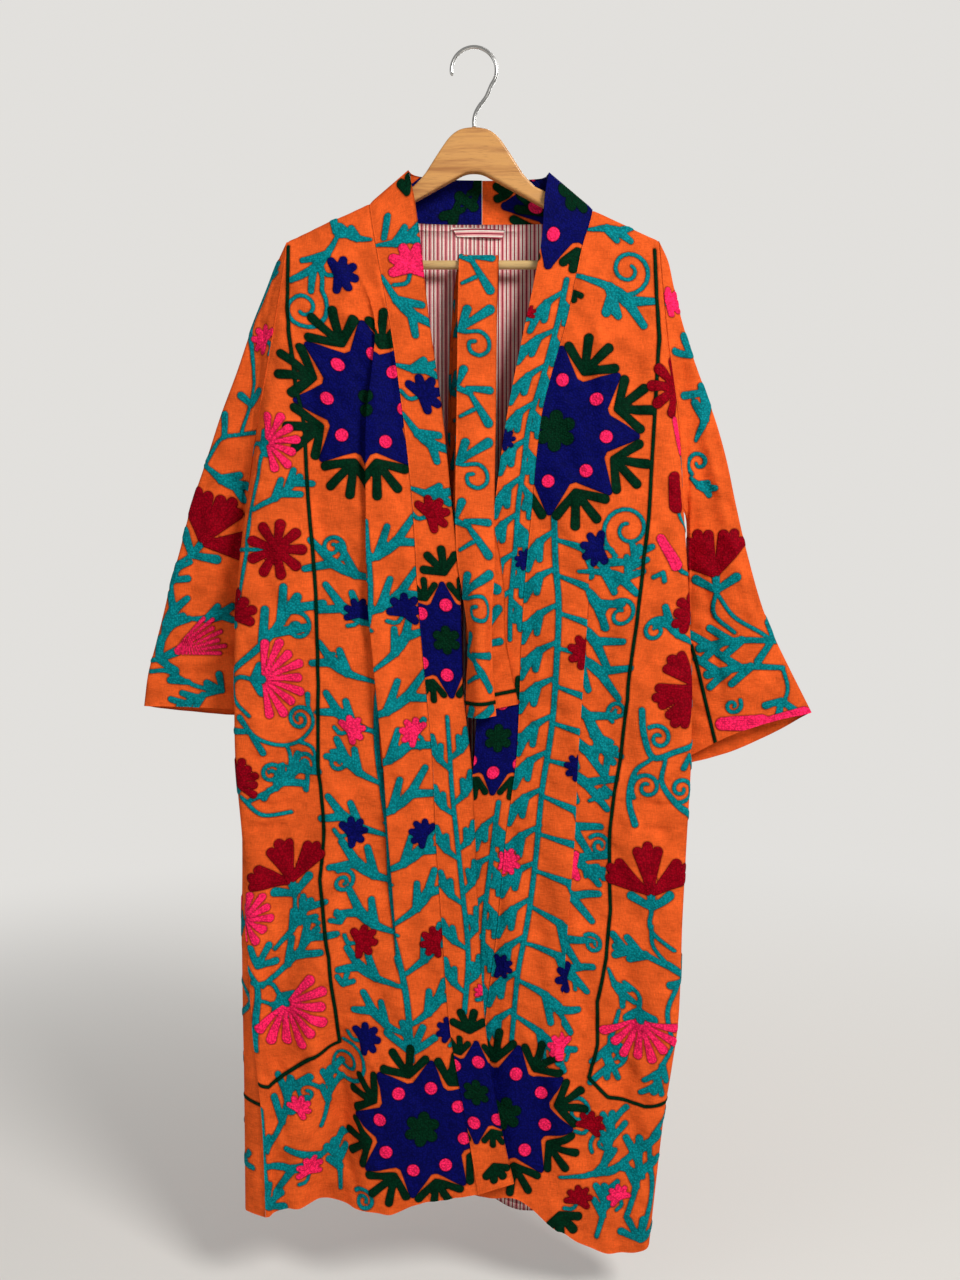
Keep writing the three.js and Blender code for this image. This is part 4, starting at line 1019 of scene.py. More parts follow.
def embroider(work, at, motifs):
    """Sew lists of motifs, by thread and kind; at turns a pixel into a flat place."""
    for title, rows in motifs.items():
        *thread, kind = title.split()
        for v in rows:
            if kind in FROM_ONE:
                FROM_ONE[kind](work, *thread, at(v[0], v[1]), *v[2:])
            elif kind in FROM_TO:
                FROM_TO[kind](work, *thread, at(v[0], v[1]), at(v[2], v[3]), *v[4:])
            elif kind == "stalk":
                work.stroke("teal", eased([at(x, y) for x, y in v[0]]), *v[1:])
            elif kind == "border":
                work.stroke("green", [at(x, y) for x, y in v], BORDER)
            elif kind == "ladder":
                ladder(work, at, *v)


BORDER = 1.9                             # half the width of the ruled lines, in millimetres
FROM_ONE = {"star": star, "small_flower": small_flower, "fan": fan, "carnation": carnation,
            "daisy": daisy, "hand": fingers}
FROM_TO = {"limb": limb, "sprig": sprig, "curl": curl, "bud": bud}

# %% The right front, worn on the right
RIGHT_FRONT = {
    "border": [[(288, 247), (289, 323), (296, 390), (306, 466), (312, 543), (315, 593), (319, 680),
      (318, 775), (321, 880), (330, 958), (336, 1010), (339, 1043), (310, 1058), (285, 1073),
      (268, 1087), (246, 1085)]],
    "star": [(378, 404, 88, 2), (421, 1128, 77, 8)],
    "ladder": [([(411, 1060), (406, 998), (398, 940), (391, 880), (383, 790), (376, 700),
      (370, 610), (366, 521)], 51, (-52, -30), (44, -38), 4.5, 0.45, 3.5)],
    "teal hand": [(411, 1052, -34, 40, 2, 18, 4.2, 4.2), (412, 1052, 40, 36, 2, 16, 4, 4.2),
      (336, 232, -10, 15, 1, 0, 3.6, 4.2), (340, 922, -30, 14, 3, 50, 2.6, 3),
      (343, 985, 20, 14, 3, 50, 2.6, 3), (250, 732, -62, 22, 2, 26, 2.6, 3.8),
      (258, 966, 25, 24, 3, 52, 3.2, 4.2), (262, 1206, 30, 26, 4, 60, 3.2, 4.4),
      (250, 1150, -40, 18, 3, 60, 3, 3.6)],
    "blue small_flower": [(340, 275, 19, 80), (359, 612, 15, 0), (405, 611, 18, 20),
      (352, 832, 16, 60), (424, 834, 15, -60), (366, 1038, 17, 70), (449, 1030, 14, -40)],
    "pink small_flower": [(350, 730, 15, 60), (414, 733, 15, -60), (298, 1108, 13, 40),
      (310, 1170, 15, 0)],
    "crimson small_flower": [(362, 942, 17, 70), (436, 942, 16, -80)],
    "limb": [(371, 240, 341, 229, 1, 4.2), (341, 230, 297, 281, 1, 4.2),
      (352, 1128, 266, 1172, 1, 4)],
    "curl": [(322, 290, 303, 308, 1.5, 1), (340, 560, 333, 548, 1.4, -1),
      (338, 872, 342, 882, 1.5, 1), (344, 1040, 348, 1062, 1.6, 1), (356, 1190, 363, 1201, 1.5, 1),
      (334, 654, 332, 662, 1.5, -1), (331, 752, 336, 762, 1.4, 1), (287, 613, 298, 628, 1.2, 1),
      (311, 712, 301, 719, 1.5, -1), (283, 780, 270, 774, 1.5, -1), (313, 770, 305, 763, 1.4, -1),
      (318, 1086, 306, 1092, 1.2, -1)],
    "stalk": [([(316, 262), (322, 276), (322, 290)], 2.5), ([(262, 454), (256, 490), (249, 524),
      (246, 556), (240, 600)], 2), ([(232, 670), (236, 700), (250, 716)], 2.2), ([(250, 732),
      (262, 741), (286, 745), (303, 738), (313, 722), (309, 706)], 2.1), ([(286, 745), (290, 762),
      (282, 782), (268, 790)], 2.1), ([(298, 742), (312, 748), (315, 764), (308, 774)], 2.1),
      ([(242, 796), (262, 815), (292, 812)], 2.2), ([(246, 968), (258, 988), (256, 1020),
      (246, 1048)], 2.6, 4), ([(246, 1110), (262, 1130), (258, 1165), (268, 1196)], 2.6)],
    "pink fan": [(267, 442, 35, 84, 7, 78), (262, 679, 46, 88, 9, 82), (239, 916, 32, 88, 7, 84),
      (286, 1003, 48, 138, 9, 92)],
    "crimson fan": [(236, 616, 32, 48, 5, 52), (236, 782, 28, 60, 6, 60)],
    "sprig": [(254, 509, 299, 477, 4.2), (232, 671, 297, 597, 5.2), (250, 800, 304, 762, 4.4),
      (276, 949, 312, 900, 4.2), (262, 986, 317, 929, 4.4), (262, 1000, 286, 1008, 3),
      (268, 1152, 290, 1078, 4.6), (322, 1124, 330, 1068, 4.6), (341, 1186, 333, 1140, 4.6)],
    "crimson daisy": [(276, 549, 32, 90)],
    "teal bud": [(250, 732, 262, 754, 3.8), (309, 704, 309, 694, 3.4), (270, 790, 265, 799, 3.4),
      (308, 775, 306, 790, 3.4)],
    "crimson carnation": [(291, 882, 50, -28)]}

# %% The left front, worn on the left
LEFT_FRONT = {
    "border": [[(655, 250), (658, 340), (655, 415), (652, 453), (648, 520), (644, 560), (637, 625),
      (631, 660), (627, 700), (621, 756), (615, 794), (609, 832), (610, 909), (605, 958),
      (598, 1003), (597, 1045), (588, 1078), (608, 1096), (644, 1107), (670, 1097)]],
    "star": [(556, 430, 90, 4), (505, 1112, 76, 12)],
    "ladder": [([(554, 517), (555, 565), (559, 603), (556, 679), (550, 739), (543, 789),
      (537, 858), (527, 927), (519, 973), (512, 1040)], 37, (-42, 26), (54, 38), 4.5, 0.35, 3.5)],
    "blue small_flower": [(597, 549, 18, -100), (577, 768, 14, -100), (562, 976, 17, -80),
      (500, 966, 13, 90)],
    "crimson small_flower": [(585, 652, 18, -95), (590, 1124, 15, 30), (579, 1200, 15, 20)],
    "pink small_flower": [(572, 866, 16, -90), (508, 862, 14, 90), (560, 1046, 14, -60),
      (618, 1196, 13, -30)],
    "limb": [(588, 230, 630, 238, 1, 4.4), (574, 275, 644, 319, 1, 5.2),
      (578, 572, 636, 588, 1, 4.2), (690, 644, 664, 611, 1, 4.2), (608, 968, 630, 1002, -1, 3.8),
      (560, 1176, 640, 1156, -1, 4)],
    "teal hand": [(610, 298, 176, 20, 2, 18, 4, 5), (664, 572, 200, 12, 2, 40, 2.4, 2.8),
      (688, 756, 180, 18, 2, 24, 2.6, 3.2), (680, 976, -50, 26, 3, 54, 3.4, 4.4),
      (640, 1240, -10, 26, 4, 58, 3.2, 4.4)],
    "green hand": [(574, 292, 150, 10, 2, 30, 2.6, 3.4), (560, 1214, 160, 24, 4, 60, 4, 5)],
    "curl": [(627, 296, 628, 271, 1.4, -1), (615, 556, 629, 530, 1.4, 1),
      (604, 628, 621, 614, 1.4, 1), (612, 722, 618, 712, 1.3, 1), (590, 838, 600, 846, 1.4, 1),
      (584, 935, 592, 944, 1.4, 1), (664, 618, 656, 631, 1.2, -1), (650, 728, 659, 738, 1.2, 1),
      (634, 798, 646, 788, 1.4, 1), (676, 803, 680, 788, 1.3, -1), (612, 1040, 614, 1056, 1.4, 1),
      (592, 1152, 602, 1142, 1.3, 1), (570, 1100, 577, 1110, 1.3, 1)],
    "sprig": [(612, 590, 640, 547, 4), (582, 712, 614, 762, 4), (582, 862, 604, 872, 3.2),
      (588, 800, 606, 790, 3.6), (667, 967, 616, 946, 4.8), (672, 1046, 654, 1092, 3.8),
      (620, 1010, 606, 1076, 3.8), (600, 1170, 612, 1112, 4.4), (626, 1216, 640, 1140, 4.6),
      (596, 1236, 604, 1186, 4.2)],
    "crimson daisy": [(679, 388, 33, -88)],
    "pink bud": [(674, 420, 678, 452, 5.2), (660, 538, 676, 566, 6.2)],
    "crimson bud": [(673, 478, 676, 506, 8.2)],
    "stalk": [([(678, 452), (684, 470), (686, 486)], 1.9), ([(676, 508), (680, 520), (690, 530)],
      2.1), ([(677, 566), (684, 572), (694, 574)], 2.3), ([(641, 710), (643, 735), (654, 757),
      (676, 752), (694, 742)], 3.6, 3), ([(651, 759), (636, 772), (629, 800), (634, 824)], 2.1,
      3.8), ([(665, 759), (661, 782), (676, 805), (687, 816)], 2.1, 4.2), ([(651, 926), (653, 946),
      (664, 962), (676, 972)], 2.3), ([(676, 985), (668, 1010), (672, 1046)], 2.6), ([(668, 1108),
      (650, 1140), (652, 1190), (640, 1240)], 2.6)],
    "crimson fan": [(692, 612, 26, -88, 5, 62)],
    "pink fan": [(641, 1020, 46, 178, 8, 74)],
    "crimson carnation": [(692, 686, 50, -96, (-52, -8, 48)), (651, 895, 54, 0, (-56, 0, 56))]}

# %% Sleeves: the front layer as in the photo; the rear layer repeats it
RIGHT_SLEEVE = {
    "pink small_flower": [(266, 340, 15, -60)],
    "stalk": [([(262, 262), (254, 300), (249, 330), (253, 392), (242, 432)], 2.2), ([(262, 434),
      (240, 434), (222, 440), (207, 462)], 2.4, 2), ([(190, 562), (178, 570), (172, 584)], 2.6,
      3.2), ([(158, 652), (172, 628), (190, 619)], 2.6, 3.6), ([(150, 671), (167, 671), (196, 686),
      (222, 691)], 2.4)],
    "teal hand": [(252, 405, -8, 20, 2, 42, 3.2, 4.2), (225, 438, 2, 24, 1, 0, 3.2, 4),
      (172, 580, 84, 18, 1, 0, 3.4, 4), (188, 682, -84, 20, 1, 0, 3.4, 4),
      (222, 690, -36, 22, 2, 26, 3, 4.2)],
    "limb": [(262, 290, 272, 262, 1, 3.6), (206, 466, 258, 490, -1, 5),
      (162, 646, 183, 599, 1, 4.4), (190, 619, 231, 610, -1, 4.6)],
    "crimson carnation": [(202, 543, 62, 42, (-46, -4, 52))],
    "pink fan": [(170, 654, 62, 66, 7, 22)],
    "sprig": [(222, 691, 180, 706, 4)]}
LEFT_SLEEVE = {
    "border": [[(692, 645), (696, 660), (706, 704), (719, 750)]],
    "pink small_flower": [(668, 302, 15, 60)],
    "teal hand": [(690, 356, -20, 22, 3, 60, 3.2, 4.2), (703, 392, -100, 20, 1, 0, 3.8, 4.4),
      (774, 640, -20, 22, 1, 0, 3.4, 4.4), (771, 642, 214, 26, 1, 0, 3.4, 4.4),
      (782, 700, 190, 22, 3, 62, 3.2, 4.4)],
    "limb": [(696, 441, 704, 390, -1, 4.8), (690, 478, 713, 489, -1, 4.2)],
    "curl": [(692, 474, 699, 462, 1.1, 1), (740, 700, 732, 706, 1.2, 1)],
    "crimson carnation": [(716, 577, 56, -4, (-48, -20, 26))],
    "stalk": [([(718, 596), (734, 616), (761, 633), (772, 640)], 2.3), ([(783, 668), (788, 690),
      (782, 706)], 2.2)],
    "sprig": [(772, 640, 700, 648, 4.8), (783, 668, 708, 674, 4.8)],
    "pink bud": [(722, 724, 762, 723, 9.5), (756, 729, 804, 719, 9)]}

# %% Collar bands, as they turn from the front into the neck
RIGHT_BAND = {
    "limb": [(373, 246, 419, 231, -1, 4.6), (374, 278, 428, 326, -1, 4.8),
      (392, 365, 436, 367, -1, 4.6), (400, 414, 446, 452, -1, 4.8), (407, 488, 452, 494, -1, 4.8)],
    "teal hand": [(384, 238, 20, 24, 1, 0, 3.6, 4.4)],
    "green hand": [(408, 192, 0, 16, 2, 24, 4.2, 4.6), (444, 572, -24, 26, 4, 58, 3.6, 4.6),
      (470, 1030, 0, 22, 4, 60, 3.8, 4.4), (494, 1166, 170, 16, 4, 60, 3.8, 4.4)],
    "pink small_flower": [(410, 266, 23, 10), (484, 992, 9, 0)],
    "blue small_flower": [(424, 395, 20, 60)],
    "crimson small_flower": [(431, 514, 19, 60)],
    "star": [(446, 640, 62, 0, 0.8), (476, 1092, 58, 10, 0.7)],
    "ladder": [([(464, 1012), (468, 960), (464, 900), (457, 840), (451, 780), (448, 716)], 45,
      (-26, -24), (26, -24), 4, 0.4, 3)]}
LEFT_BAND = {
    "star": [(574, 196, 88, 4, 0.6), (499, 738, 62, 0, 0.8), (498, 1110, 58, 0, 0.6)],
    "ladder": [([(566, 280), (559, 317), (546, 366), (537, 397), (529, 424), (524, 469),
      (518, 502), (516, 547), (511, 603), (510, 640)], 38, (-38, 27), (22, 26), 4.4, 0.3, 3.2),
      ([(498, 803), (493, 842), (487, 893), (484, 927), (481, 1010)], 40, (-24, 24), (18, 24), 4.2,
      0.3, 3)],
    "crimson small_flower": [(524, 314, 9, 0)],
    "blue small_flower": [(504, 440, 11, 60), (526, 560, 11, -60)],
    "pink small_flower": [(506, 860, 10, 90)]}
RIGHT_NECK = {
    "blue bud": [(440, 204, 500, 204, 60)],
    "green hand": [(466 + 9 * math.sin(a), 202 - 9 * math.cos(a), math.degrees(a), 20, 1, 0,
                    3.2, 5.6) for a in np.radians(range(20, 380, 60))]}
LEFT_NECK = {
    "green hand": [(541, 214, -70, 26, 4, 60, 4.2, 5.2), (506, 196, -40, 14, 3, 60, 3.6, 4.6)],
    "blue bud": [(516, 188, 540, 184, 7)]}
print("motifs placed by eye:", sum(len(rows) for motifs in (
    RIGHT_FRONT, LEFT_FRONT, RIGHT_SLEEVE, LEFT_SLEEVE, RIGHT_BAND, LEFT_BAND)
    for rows in motifs.values()))

# %% The back: the fronts' motifs beside its vines, and what is its own
BACK = {
    "star": [(384, 400, 86, 2), (572, 416, 86, 4), (478, 300, 66, 0, 0.8), (400, 1132, 76, 8),
             (556, 1140, 76, 0), (480, 640, 80, 0)],
    "ladder": [
        ([(398, 1052), (394, 960), (386, 860), (378, 740), (372, 620), (370, 500)], 47,
         (-46, -34), (46, -34), 5.0),
        ([(558, 1056), (564, 960), (570, 860), (576, 740), (582, 620), (584, 516)], 47,
         (-46, -34), (46, -34), 5.0),
        ([(480, 1150), (478, 1060), (482, 960), (478, 850), (480, 740)], 45,
         (-36, -30), (36, -30), 4.8),
        ([(480, 556), (478, 470), (480, 384)], 40, (-36, -30), (36, -30), 4.6)],
    "pink small_flower": [(440, 470, 16, 40), (524, 940, 16, -40), (430, 1040, 15, 40)],
    "crimson small_flower": [(520, 480, 16, -40), (436, 800, 16, 40), (526, 1050, 15, -40)],
    "blue small_flower": [(524, 820, 16, -40), (436, 930, 16, 40)]}
for front in (RIGHT_FRONT, LEFT_FRONT):
    for title, rows in front.items():
        if title in ("limb", "curl"):           # none where the back's vines are
            rows = [r for r in rows if not (300 < r[0] < 640 and r[1] > 480)]
        if title not in ("star", "ladder"):
            BACK[title] = BACK.get(title, []) + rows

# %% Sew every piece
GARDEN = {
    "front_right": RIGHT_FRONT, "front_left": LEFT_FRONT, "back": BACK,
    "sleeve_right": RIGHT_SLEEVE, "sleeve_left": LEFT_SLEEVE,
    "collar_band_right": RIGHT_BAND, "collar_band_left": LEFT_BAND,
    "sleeve_right_rear": RIGHT_SLEEVE, "sleeve_left_rear": LEFT_SLEEVE,
    "collar_band_right_neck": RIGHT_NECK, "collar_band_left_neck": LEFT_NECK}
works = {name: Threadwork() for name in (*FRONTS, "back", *SLEEVES, *BANDS, "belt")}
for place, motifs in GARDEN.items():
    embroider(works[place.replace("_rear", "").replace("_neck", "")], seen[place], motifs)

# %% The belt: leaves from its left edge and a curl, over and over
# Places are across the belt, and down from the start of each turn of the pattern.
BELT_TURN, BELT_TURNS, FIRST_TURN = 142, 12, 73        # millimetres, how many, and the first
BELT_LEAVES = [       # from, to, and the radius at each end
    ((-10, 2), (14, 4), 2.6, 4.4), ((-8, 6), (13, 39), 2.4, 5.2),
    ((-3, 25), (-17, 32), 2.6, 2.0), ((-21, 1), (-6, 8), 3.4, 2.8),
    ((-18, 80), (-11, 60), 3.2, 5.0), ((-17, 80), (13, 60), 3.2, 5.6),
    ((-19, 138), (-14, 124), 2.4, 5.0), ((-20, 82), (-12, 84), 2.6, 2.4)]
BELT_CURL = [(-12, 84), (4, 84), (12, 92), (12, 103), (3, 109), (-7, 104), (-8, 95), (-2, 94)]
BELT_LINE = 15                                         # a ruled line, this far from each end
length = float(fine["belt"].t.max())
for turn in np.arange(length - BELT_TURN * BELT_TURNS + FIRST_TURN, length, BELT_TURN):
    for a, b, ra, rb in BELT_LEAVES:
        works["belt"].stroke("teal", [(a[0], turn + a[1]), (b[0], turn + b[1])], ra, rb)
    works["belt"].stroke("teal", eased([(x, turn + y) for x, y in BELT_CURL]), 2.2)
for place in (BELT_LINE, length - BELT_LINE):
    works["belt"].stroke("green", [(-21, place), (21, place)], BORDER)
print({n: sum(len(s) for s in w.strokes.values()) for n, w in works.items()})

# %% How far inside each thread colour, at every point of the mesh
sewn = {name: {c: work.inside(fine[name], c) for c in THREADS} for name, work in works.items()}


THREAD_HIGH, PINK_HIGHER, ROUNDED = 0.95, 0.3, 1.8     # millimetres
ROLL_DEEP, ROLL_WIDE = 0.7, 2.6


def relief(fields):
    """Height of the thread over the cloth, in millimetres; the pink thread is thicker."""
    deepest = np.max([fields[c] for c in THREADS], 0)
    return (THREAD_HIGH * smooth((deepest + 0.5) / ROUNDED)
            + PINK_HIGHER * smooth((fields["pink"] + 0.3) / ROUNDED))


def seam_dip(q, sides):
    """Edges roll down a little where a piece is turned under and sewn."""
    return -ROLL_DEEP * np.max([np.exp(-(far / ROLL_WIDE) ** 2)
                                for far in from_edges(q, sides)], 0)


raised = {name: relief(f) for name, f in sewn.items()}
for name in (*FRONTS, "back"):
    raised[name] += seam_dip(fine[name], ("first", "last", "top"))
for name in BANDS:
    raised[name] += seam_dip(fine[name], ("first",))
print("thread covers", {n: f"{float((r > 0.4).mean()):.0%}" for n, r in raised.items()})

# %% [markdown]
# ## Walls of cloth
# Each quilt becomes a closed wall: a fine outer face that carries the embroidery, an inner
# face that is twice as coarse, and flat rims that join them. The inner face shows plain
# lining, or face cloth where it is turned in at a cuff or a sharp pleat. Pieces worn with
# both faces showing get two fine faces. A Solidify modifier would make every inside fine.

# %% From a quilt to a mesh
TURN_NEAR = 10               # nearer to a turn than this the inner face is face cloth


def wall(name, q, thick, outer, both, materials, facing):
    """A closed wall about the quilt; outer is how far its faces stand proud, in mm, and
    facing is how many of its last inner rows are turned-in face cloth."""
    rows, columns = q.p.shape[:2]
    outer = np.zeros((rows, columns)) if outer is None else outer
    middle = q.p + q.shift + q.n * q.lift[..., None]
    front = middle + q.n * (thick / 2 + outer)[..., None]
    stride = 1 if both else INNER
    snug = mix(0.35, 1.0, smooth((q.apart - 4) / 8))       # thinner inside a sharp bend
    rear = middle - q.n * (thick / 2 * snug + (outer if both else 0))[..., None]
    rear = rear[::stride, ::stride]
    ids = np.arange(rows * columns).reshape(rows, columns)
    rear_ids = rows * columns + np.arange(rear[..., 0].size).reshape(rear.shape[:2])

    def quads(a, turned):
        if q.loop:
            a = np.concatenate([a, a[:, :1]], 1)
        corners = [a[:-1, :-1], a[1:, :-1], a[1:, 1:], a[:-1, 1:]]
        return np.stack(corners[::-1] if turned else corners, -1).reshape(-1, 4).tolist()

    def rim(edge, inside, turned):
        if q.loop:
            edge, inside = (np.concatenate([a, a[:1]]) for a in (edge, inside))
        faces = []
        for k in range(len(inside) - 1):
            face = list(edge[stride * k:stride * k + stride + 1]) + [inside[k + 1], inside[k]]
            faces.append([int(i) for i in (face[::-1] if turned else face)])
        return faces

    to_edge = np.cross(q.p[1, 0] - q.p[0, 0], q.p[0, 1] - q.p[0, 0])
    turned = to_edge @ q.n[0, 0] < 0
    faces = quads(ids, turned)
    outer_count = len(faces)
    faces += quads(rear_ids, not turned)
    both_count = len(faces)
    faces += rim(ids[0], rear_ids[0], not turned) + rim(ids[-1], rear_ids[-1], turned)
    if not q.loop:
        faces += rim(ids[:, 0], rear_ids[:, 0], turned)
        faces += rim(ids[:, -1], rear_ids[:, -1], not turned)
    mesh = bpy.data.meshes.new(name)
    points = np.concatenate([front.reshape(-1, 3), rear.reshape(-1, 3)]) / 1000
    mesh.from_pydata(points, [], faces)
    slot = np.zeros(len(faces), int)
    if not both:
        inner = (q.apart[::stride, ::stride][:-1] > TURN_NEAR).astype(int)
        inner = inner if q.loop else inner[:, :-1]
        inner[len(inner) - facing:] = 0
        slot[outer_count:both_count] = inner.ravel()
    mesh.polygons.foreach_set("material_index", slot)
    mesh.polygons.foreach_set("use_smooth", np.arange(len(faces)) < both_count)
    for m in materials:
        mesh.materials.append(m)
    s = np.concatenate([q.s.ravel(), q.s[::stride, ::stride].ravel()])
    t = np.concatenate([q.t.ravel(), q.t[::stride, ::stride].ravel()])
    corner = np.empty(len(mesh.loops), np.int32)
    mesh.loops.foreach_get("vertex_index", corner)
    flat = np.stack([s[corner], -t[corner]], 1)
    if q.loop:                          # keep each face of the sleeve in one layer
        start = np.empty(len(mesh.polygons), np.int32)
        mesh.polygons.foreach_get("loop_start", start)
        face_of = np.repeat(np.arange(len(start)), np.diff(np.append(start, len(corner))))
        is_rear = flat[:, 0] > BETWEEN
        mostly = np.bincount(face_of, is_rear) / np.bincount(face_of) > 0.5
        flat[:, 0] += REAR_AT * (mostly[face_of].astype(int) - is_rear.astype(int))
    mesh.uv_layers.new(name="flat").data.foreach_set("uv", (flat / 1000).ravel())
    mesh.update()
    return add_object(name, mesh)


def give(obj, name, values, q, both):
    """Keep a value at each point of the mesh, for its material to read."""
    stride = 1 if both else INNER
    rear = values[::stride, ::stride] if both else np.full(values[::stride, ::stride].shape, -3.0)
    data = obj.data.attributes.new(name, "FLOAT", "POINT").data
    data.foreach_set("value", np.concatenate([values.ravel(), rear.ravel()]))

# %% [markdown]
# ## Cloth, thread and stitches
# Three effects are shared by the cloths, so each is a node group: the weave, the rows of
# chain stitch, and uneven dye. The embroidered cloth reads the distances that the mesh keeps
# for each thread colour. Zero is the edge of a motif, and each further 2.6 mm is a row of
# stitches, so the rows run round inside every leaf and petal, as a needle lays them. Real
# loops of thread would be far too many points, so the links are made by bump and by painted
# shade: loops, valleys between rows and thread edges are painted darker, and a painted shadow
# rings every motif on the ground cloth.

# %% A short way to write node trees
class Tree:
    """Adds nodes to a tree; every method returns the new node's output socket."""

    def __init__(self, tree):
        self.tree = tree

    def node(self, kind, out=0, inputs=(), **settings):
        made = self.tree.nodes.new(kind)
        for key, value in settings.items():
            setattr(made, key, value)
        for key, value in dict(inputs).items():
            if isinstance(value, bpy.types.NodeSocket):
                self.tree.links.new(value, made.inputs[key])
            else:
                made.inputs[key].default_value = value
        return made.outputs[out]

    def math(self, operation, *values):
        return self.node("ShaderNodeMath", inputs=enumerate(values), operation=operation)

    def plus(self, a, b):
        return self.math("ADD", a, b)

    def times(self, a, b):
        return self.math("MULTIPLY", a, b)

    def vector(self, operation, *values, out=0):
        return self.node("ShaderNodeVectorMath", out, enumerate(values), operation=operation)

    def ramp(self, value, low, high, to_low=0.0, to_high=1.0, kind="SMOOTHSTEP"):
        return self.node("ShaderNodeMapRange", interpolation_type=kind,
                         inputs=enumerate((value, low, high, to_low, to_high)))

    def blend(self, factor, a, b, kind="MIX"):
        """Colours a and b mixed; 6 and 7 are the colour inputs of Blender's Mix node."""
        return self.node("ShaderNodeMix", 2, {0: factor, 6: a, 7: b}, data_type="RGBA",
                         blend_type=kind)

    def noise(self, where, scale, detail=2.0):
        return self.node("ShaderNodeTexNoise", "Fac",
                         {"Vector": where, "Scale": scale, "Detail": detail})

    def flat(self, across=1.0, down=1.0):
        """Flat place on the cloth in millimetres, stretched by so much each way."""
        place = self.node("ShaderNodeUVMap", uv_map="flat")
        return self.vector("MULTIPLY", place, (1000 * across, 1000 * down, 1))


def new_group(name, inputs, outputs):
    """An empty node group with named sockets, and the outputs of its inputs' node."""
    tree = bpy.data.node_groups.new(name, "ShaderNodeTree")
    for direction, sockets in (("INPUT", inputs), ("OUTPUT", outputs)):
        for socket, kind, value in sockets:
            made = tree.interface.new_socket(socket, in_out=direction,
                                             socket_type="NodeSocket" + kind)
            if direction == "INPUT" and value is not None:
                made.default_value = value
    given = tree.nodes.new("NodeGroupInput").outputs
    return Tree(tree), given, tree.nodes.new("NodeGroupOutput").inputs


def finish_group(t, into, **results):
    for name, socket in results.items():
        t.tree.links.new(socket, into[name.replace("_", " ")])
    return t.tree


# %% Weave: a plain cotton with slubs
WHITE = (1, 1, 1, 1)
t, given, into = new_group("cotton_weave",
                           [("Colour", "Color", WHITE), ("Slub", "Float", 1.0)],
                           [("Colour", "Color", None), ("Height", "Float", None)])
warp = t.noise(t.flat(1.9, 0.10), 1.0)
weft = t.noise(t.flat(0.10, 1.9), 1.0)
cloudy = t.noise(t.flat(), 0.028, 3.0)
threads = t.plus(warp, weft)
tone = t.plus(t.times(t.math("SUBTRACT", threads, 1.0), 0.75),
              t.times(t.math("SUBTRACT", cloudy, 0.5), 0.8))
tone = t.plus(1.0, t.times(tone, given["Slub"]))
crumple = t.noise(t.flat(0.8, 1.25), 0.062, 3.0)
rumple = t.noise(t.flat(0.35, 1.5), 0.11, 2.0)
weave_group = finish_group(
    t, into, Colour=t.blend(1.0, given["Colour"], tone, "MULTIPLY"),
    Height=t.plus(t.times(threads, 0.12), t.plus(t.times(crumple, 2.1), t.times(rumple, 0.9))))
print("weave group", len(weave_group.nodes), "nodes")

# %% Chain stitch: rows inside each motif, links along each row, and their painted shade
ROW, LINK, EDGE = 2.6, 2.3, 0.22          # millimetres
THREAD_COLOUR = {"teal": (0.001, 0.205, 0.232, 1), "blue": (0.002, 0.003, 0.092, 1),
                 "green": (0.0, 0.022, 0.008, 1), "crimson": (0.25, 0.0, 0.007, 1),
                 "pink": (1.0, 0.018, 0.118, 1)}
t, given, into = new_group(
    "chain_stitch",
    [("Colour", "Color", WHITE), ("Cover", "Float", 0.0), ("Row Shade", "Float", 1.0),
     ("Height", "Float", 0.0), ("Inside", "Float", 0.0), ("Thread", "Color", (0, 0, 0, 1))],
    [("Colour", "Color", None), ("Cover", "Float", None), ("Row Shade", "Float", None),
     ("Height", "Float", None)])
mask = t.ramp(given["Inside"], -EDGE, EDGE)
place = t.math("DIVIDE", t.math("MAXIMUM", given["Inside"], 0.0), ROW)
row = t.math("ABSOLUTE", t.math("SINE", t.times(place, math.pi)))
links = t.node("ShaderNodeTexVoronoi", "Distance",
               {"Vector": t.flat(), "Scale": 1.0 / LINK, "Randomness": 0.75})
# painted shade: each link is darker towards its rim, the valleys between rows are darker, and each
# thread is darker near its edge; full is also the stitches' height
full = t.times(t.ramp(row, 0.0, 0.6, 0.72, 1.0), t.ramp(links, 0.80, 0.15, 0.50, 1.0))
shade = t.times(t.ramp(full, 0.35, 1.0, 0.50, 1.24, "LINEAR"),
               t.ramp(given["Inside"], 0.0, 1.5, 0.62, 1.06))
stitched = t.blend(1.0, given["Thread"], shade, "MULTIPLY")
# painted shadow: the ground cloth darkens to half over the last 2 mm before every motif
beside = t.blend(1.0, given["Colour"], t.ramp(given["Inside"], -1.9, 0.1, 1.0, 0.50), "MULTIPLY")
high = t.plus(given["Height"], t.plus(0.15, t.times(full, 0.5)))
stitch_group = finish_group(
    t, into, Colour=t.blend(mask, beside, stitched),
    Cover=t.math("MAXIMUM", given["Cover"], mask),
    Row_Shade=t.node("ShaderNodeMix", 0, {0: mask, 2: given["Row Shade"], 3: shade}),
    Height=t.node("ShaderNodeMix", 0, {0: mask, 2: given["Height"], 3: high}))
print("thread colours", list(THREAD_COLOUR))

# %% Uneven dye: thread and cloth differ a little from place to place
t, given, into = new_group("hand_dyed", [("Colour", "Color", WHITE), ("Amount", "Float", 0.2)],
                           [("Colour", "Color", None)])
patch = t.noise(t.flat(), 0.06, 2.0)
fleck = t.noise(t.flat(), 0.42, 1.0)
value = t.plus(t.times(t.math("SUBTRACT", patch, 0.5), 1.2),
               t.times(t.math("SUBTRACT", fleck, 0.5), 0.8))
value = t.plus(1.0, t.times(value, given["Amount"]))
dye_group = finish_group(t, into, Colour=t.blend(1.0, given["Colour"], value, "MULTIPLY"))
print("dye group", len(dye_group.nodes), "nodes")


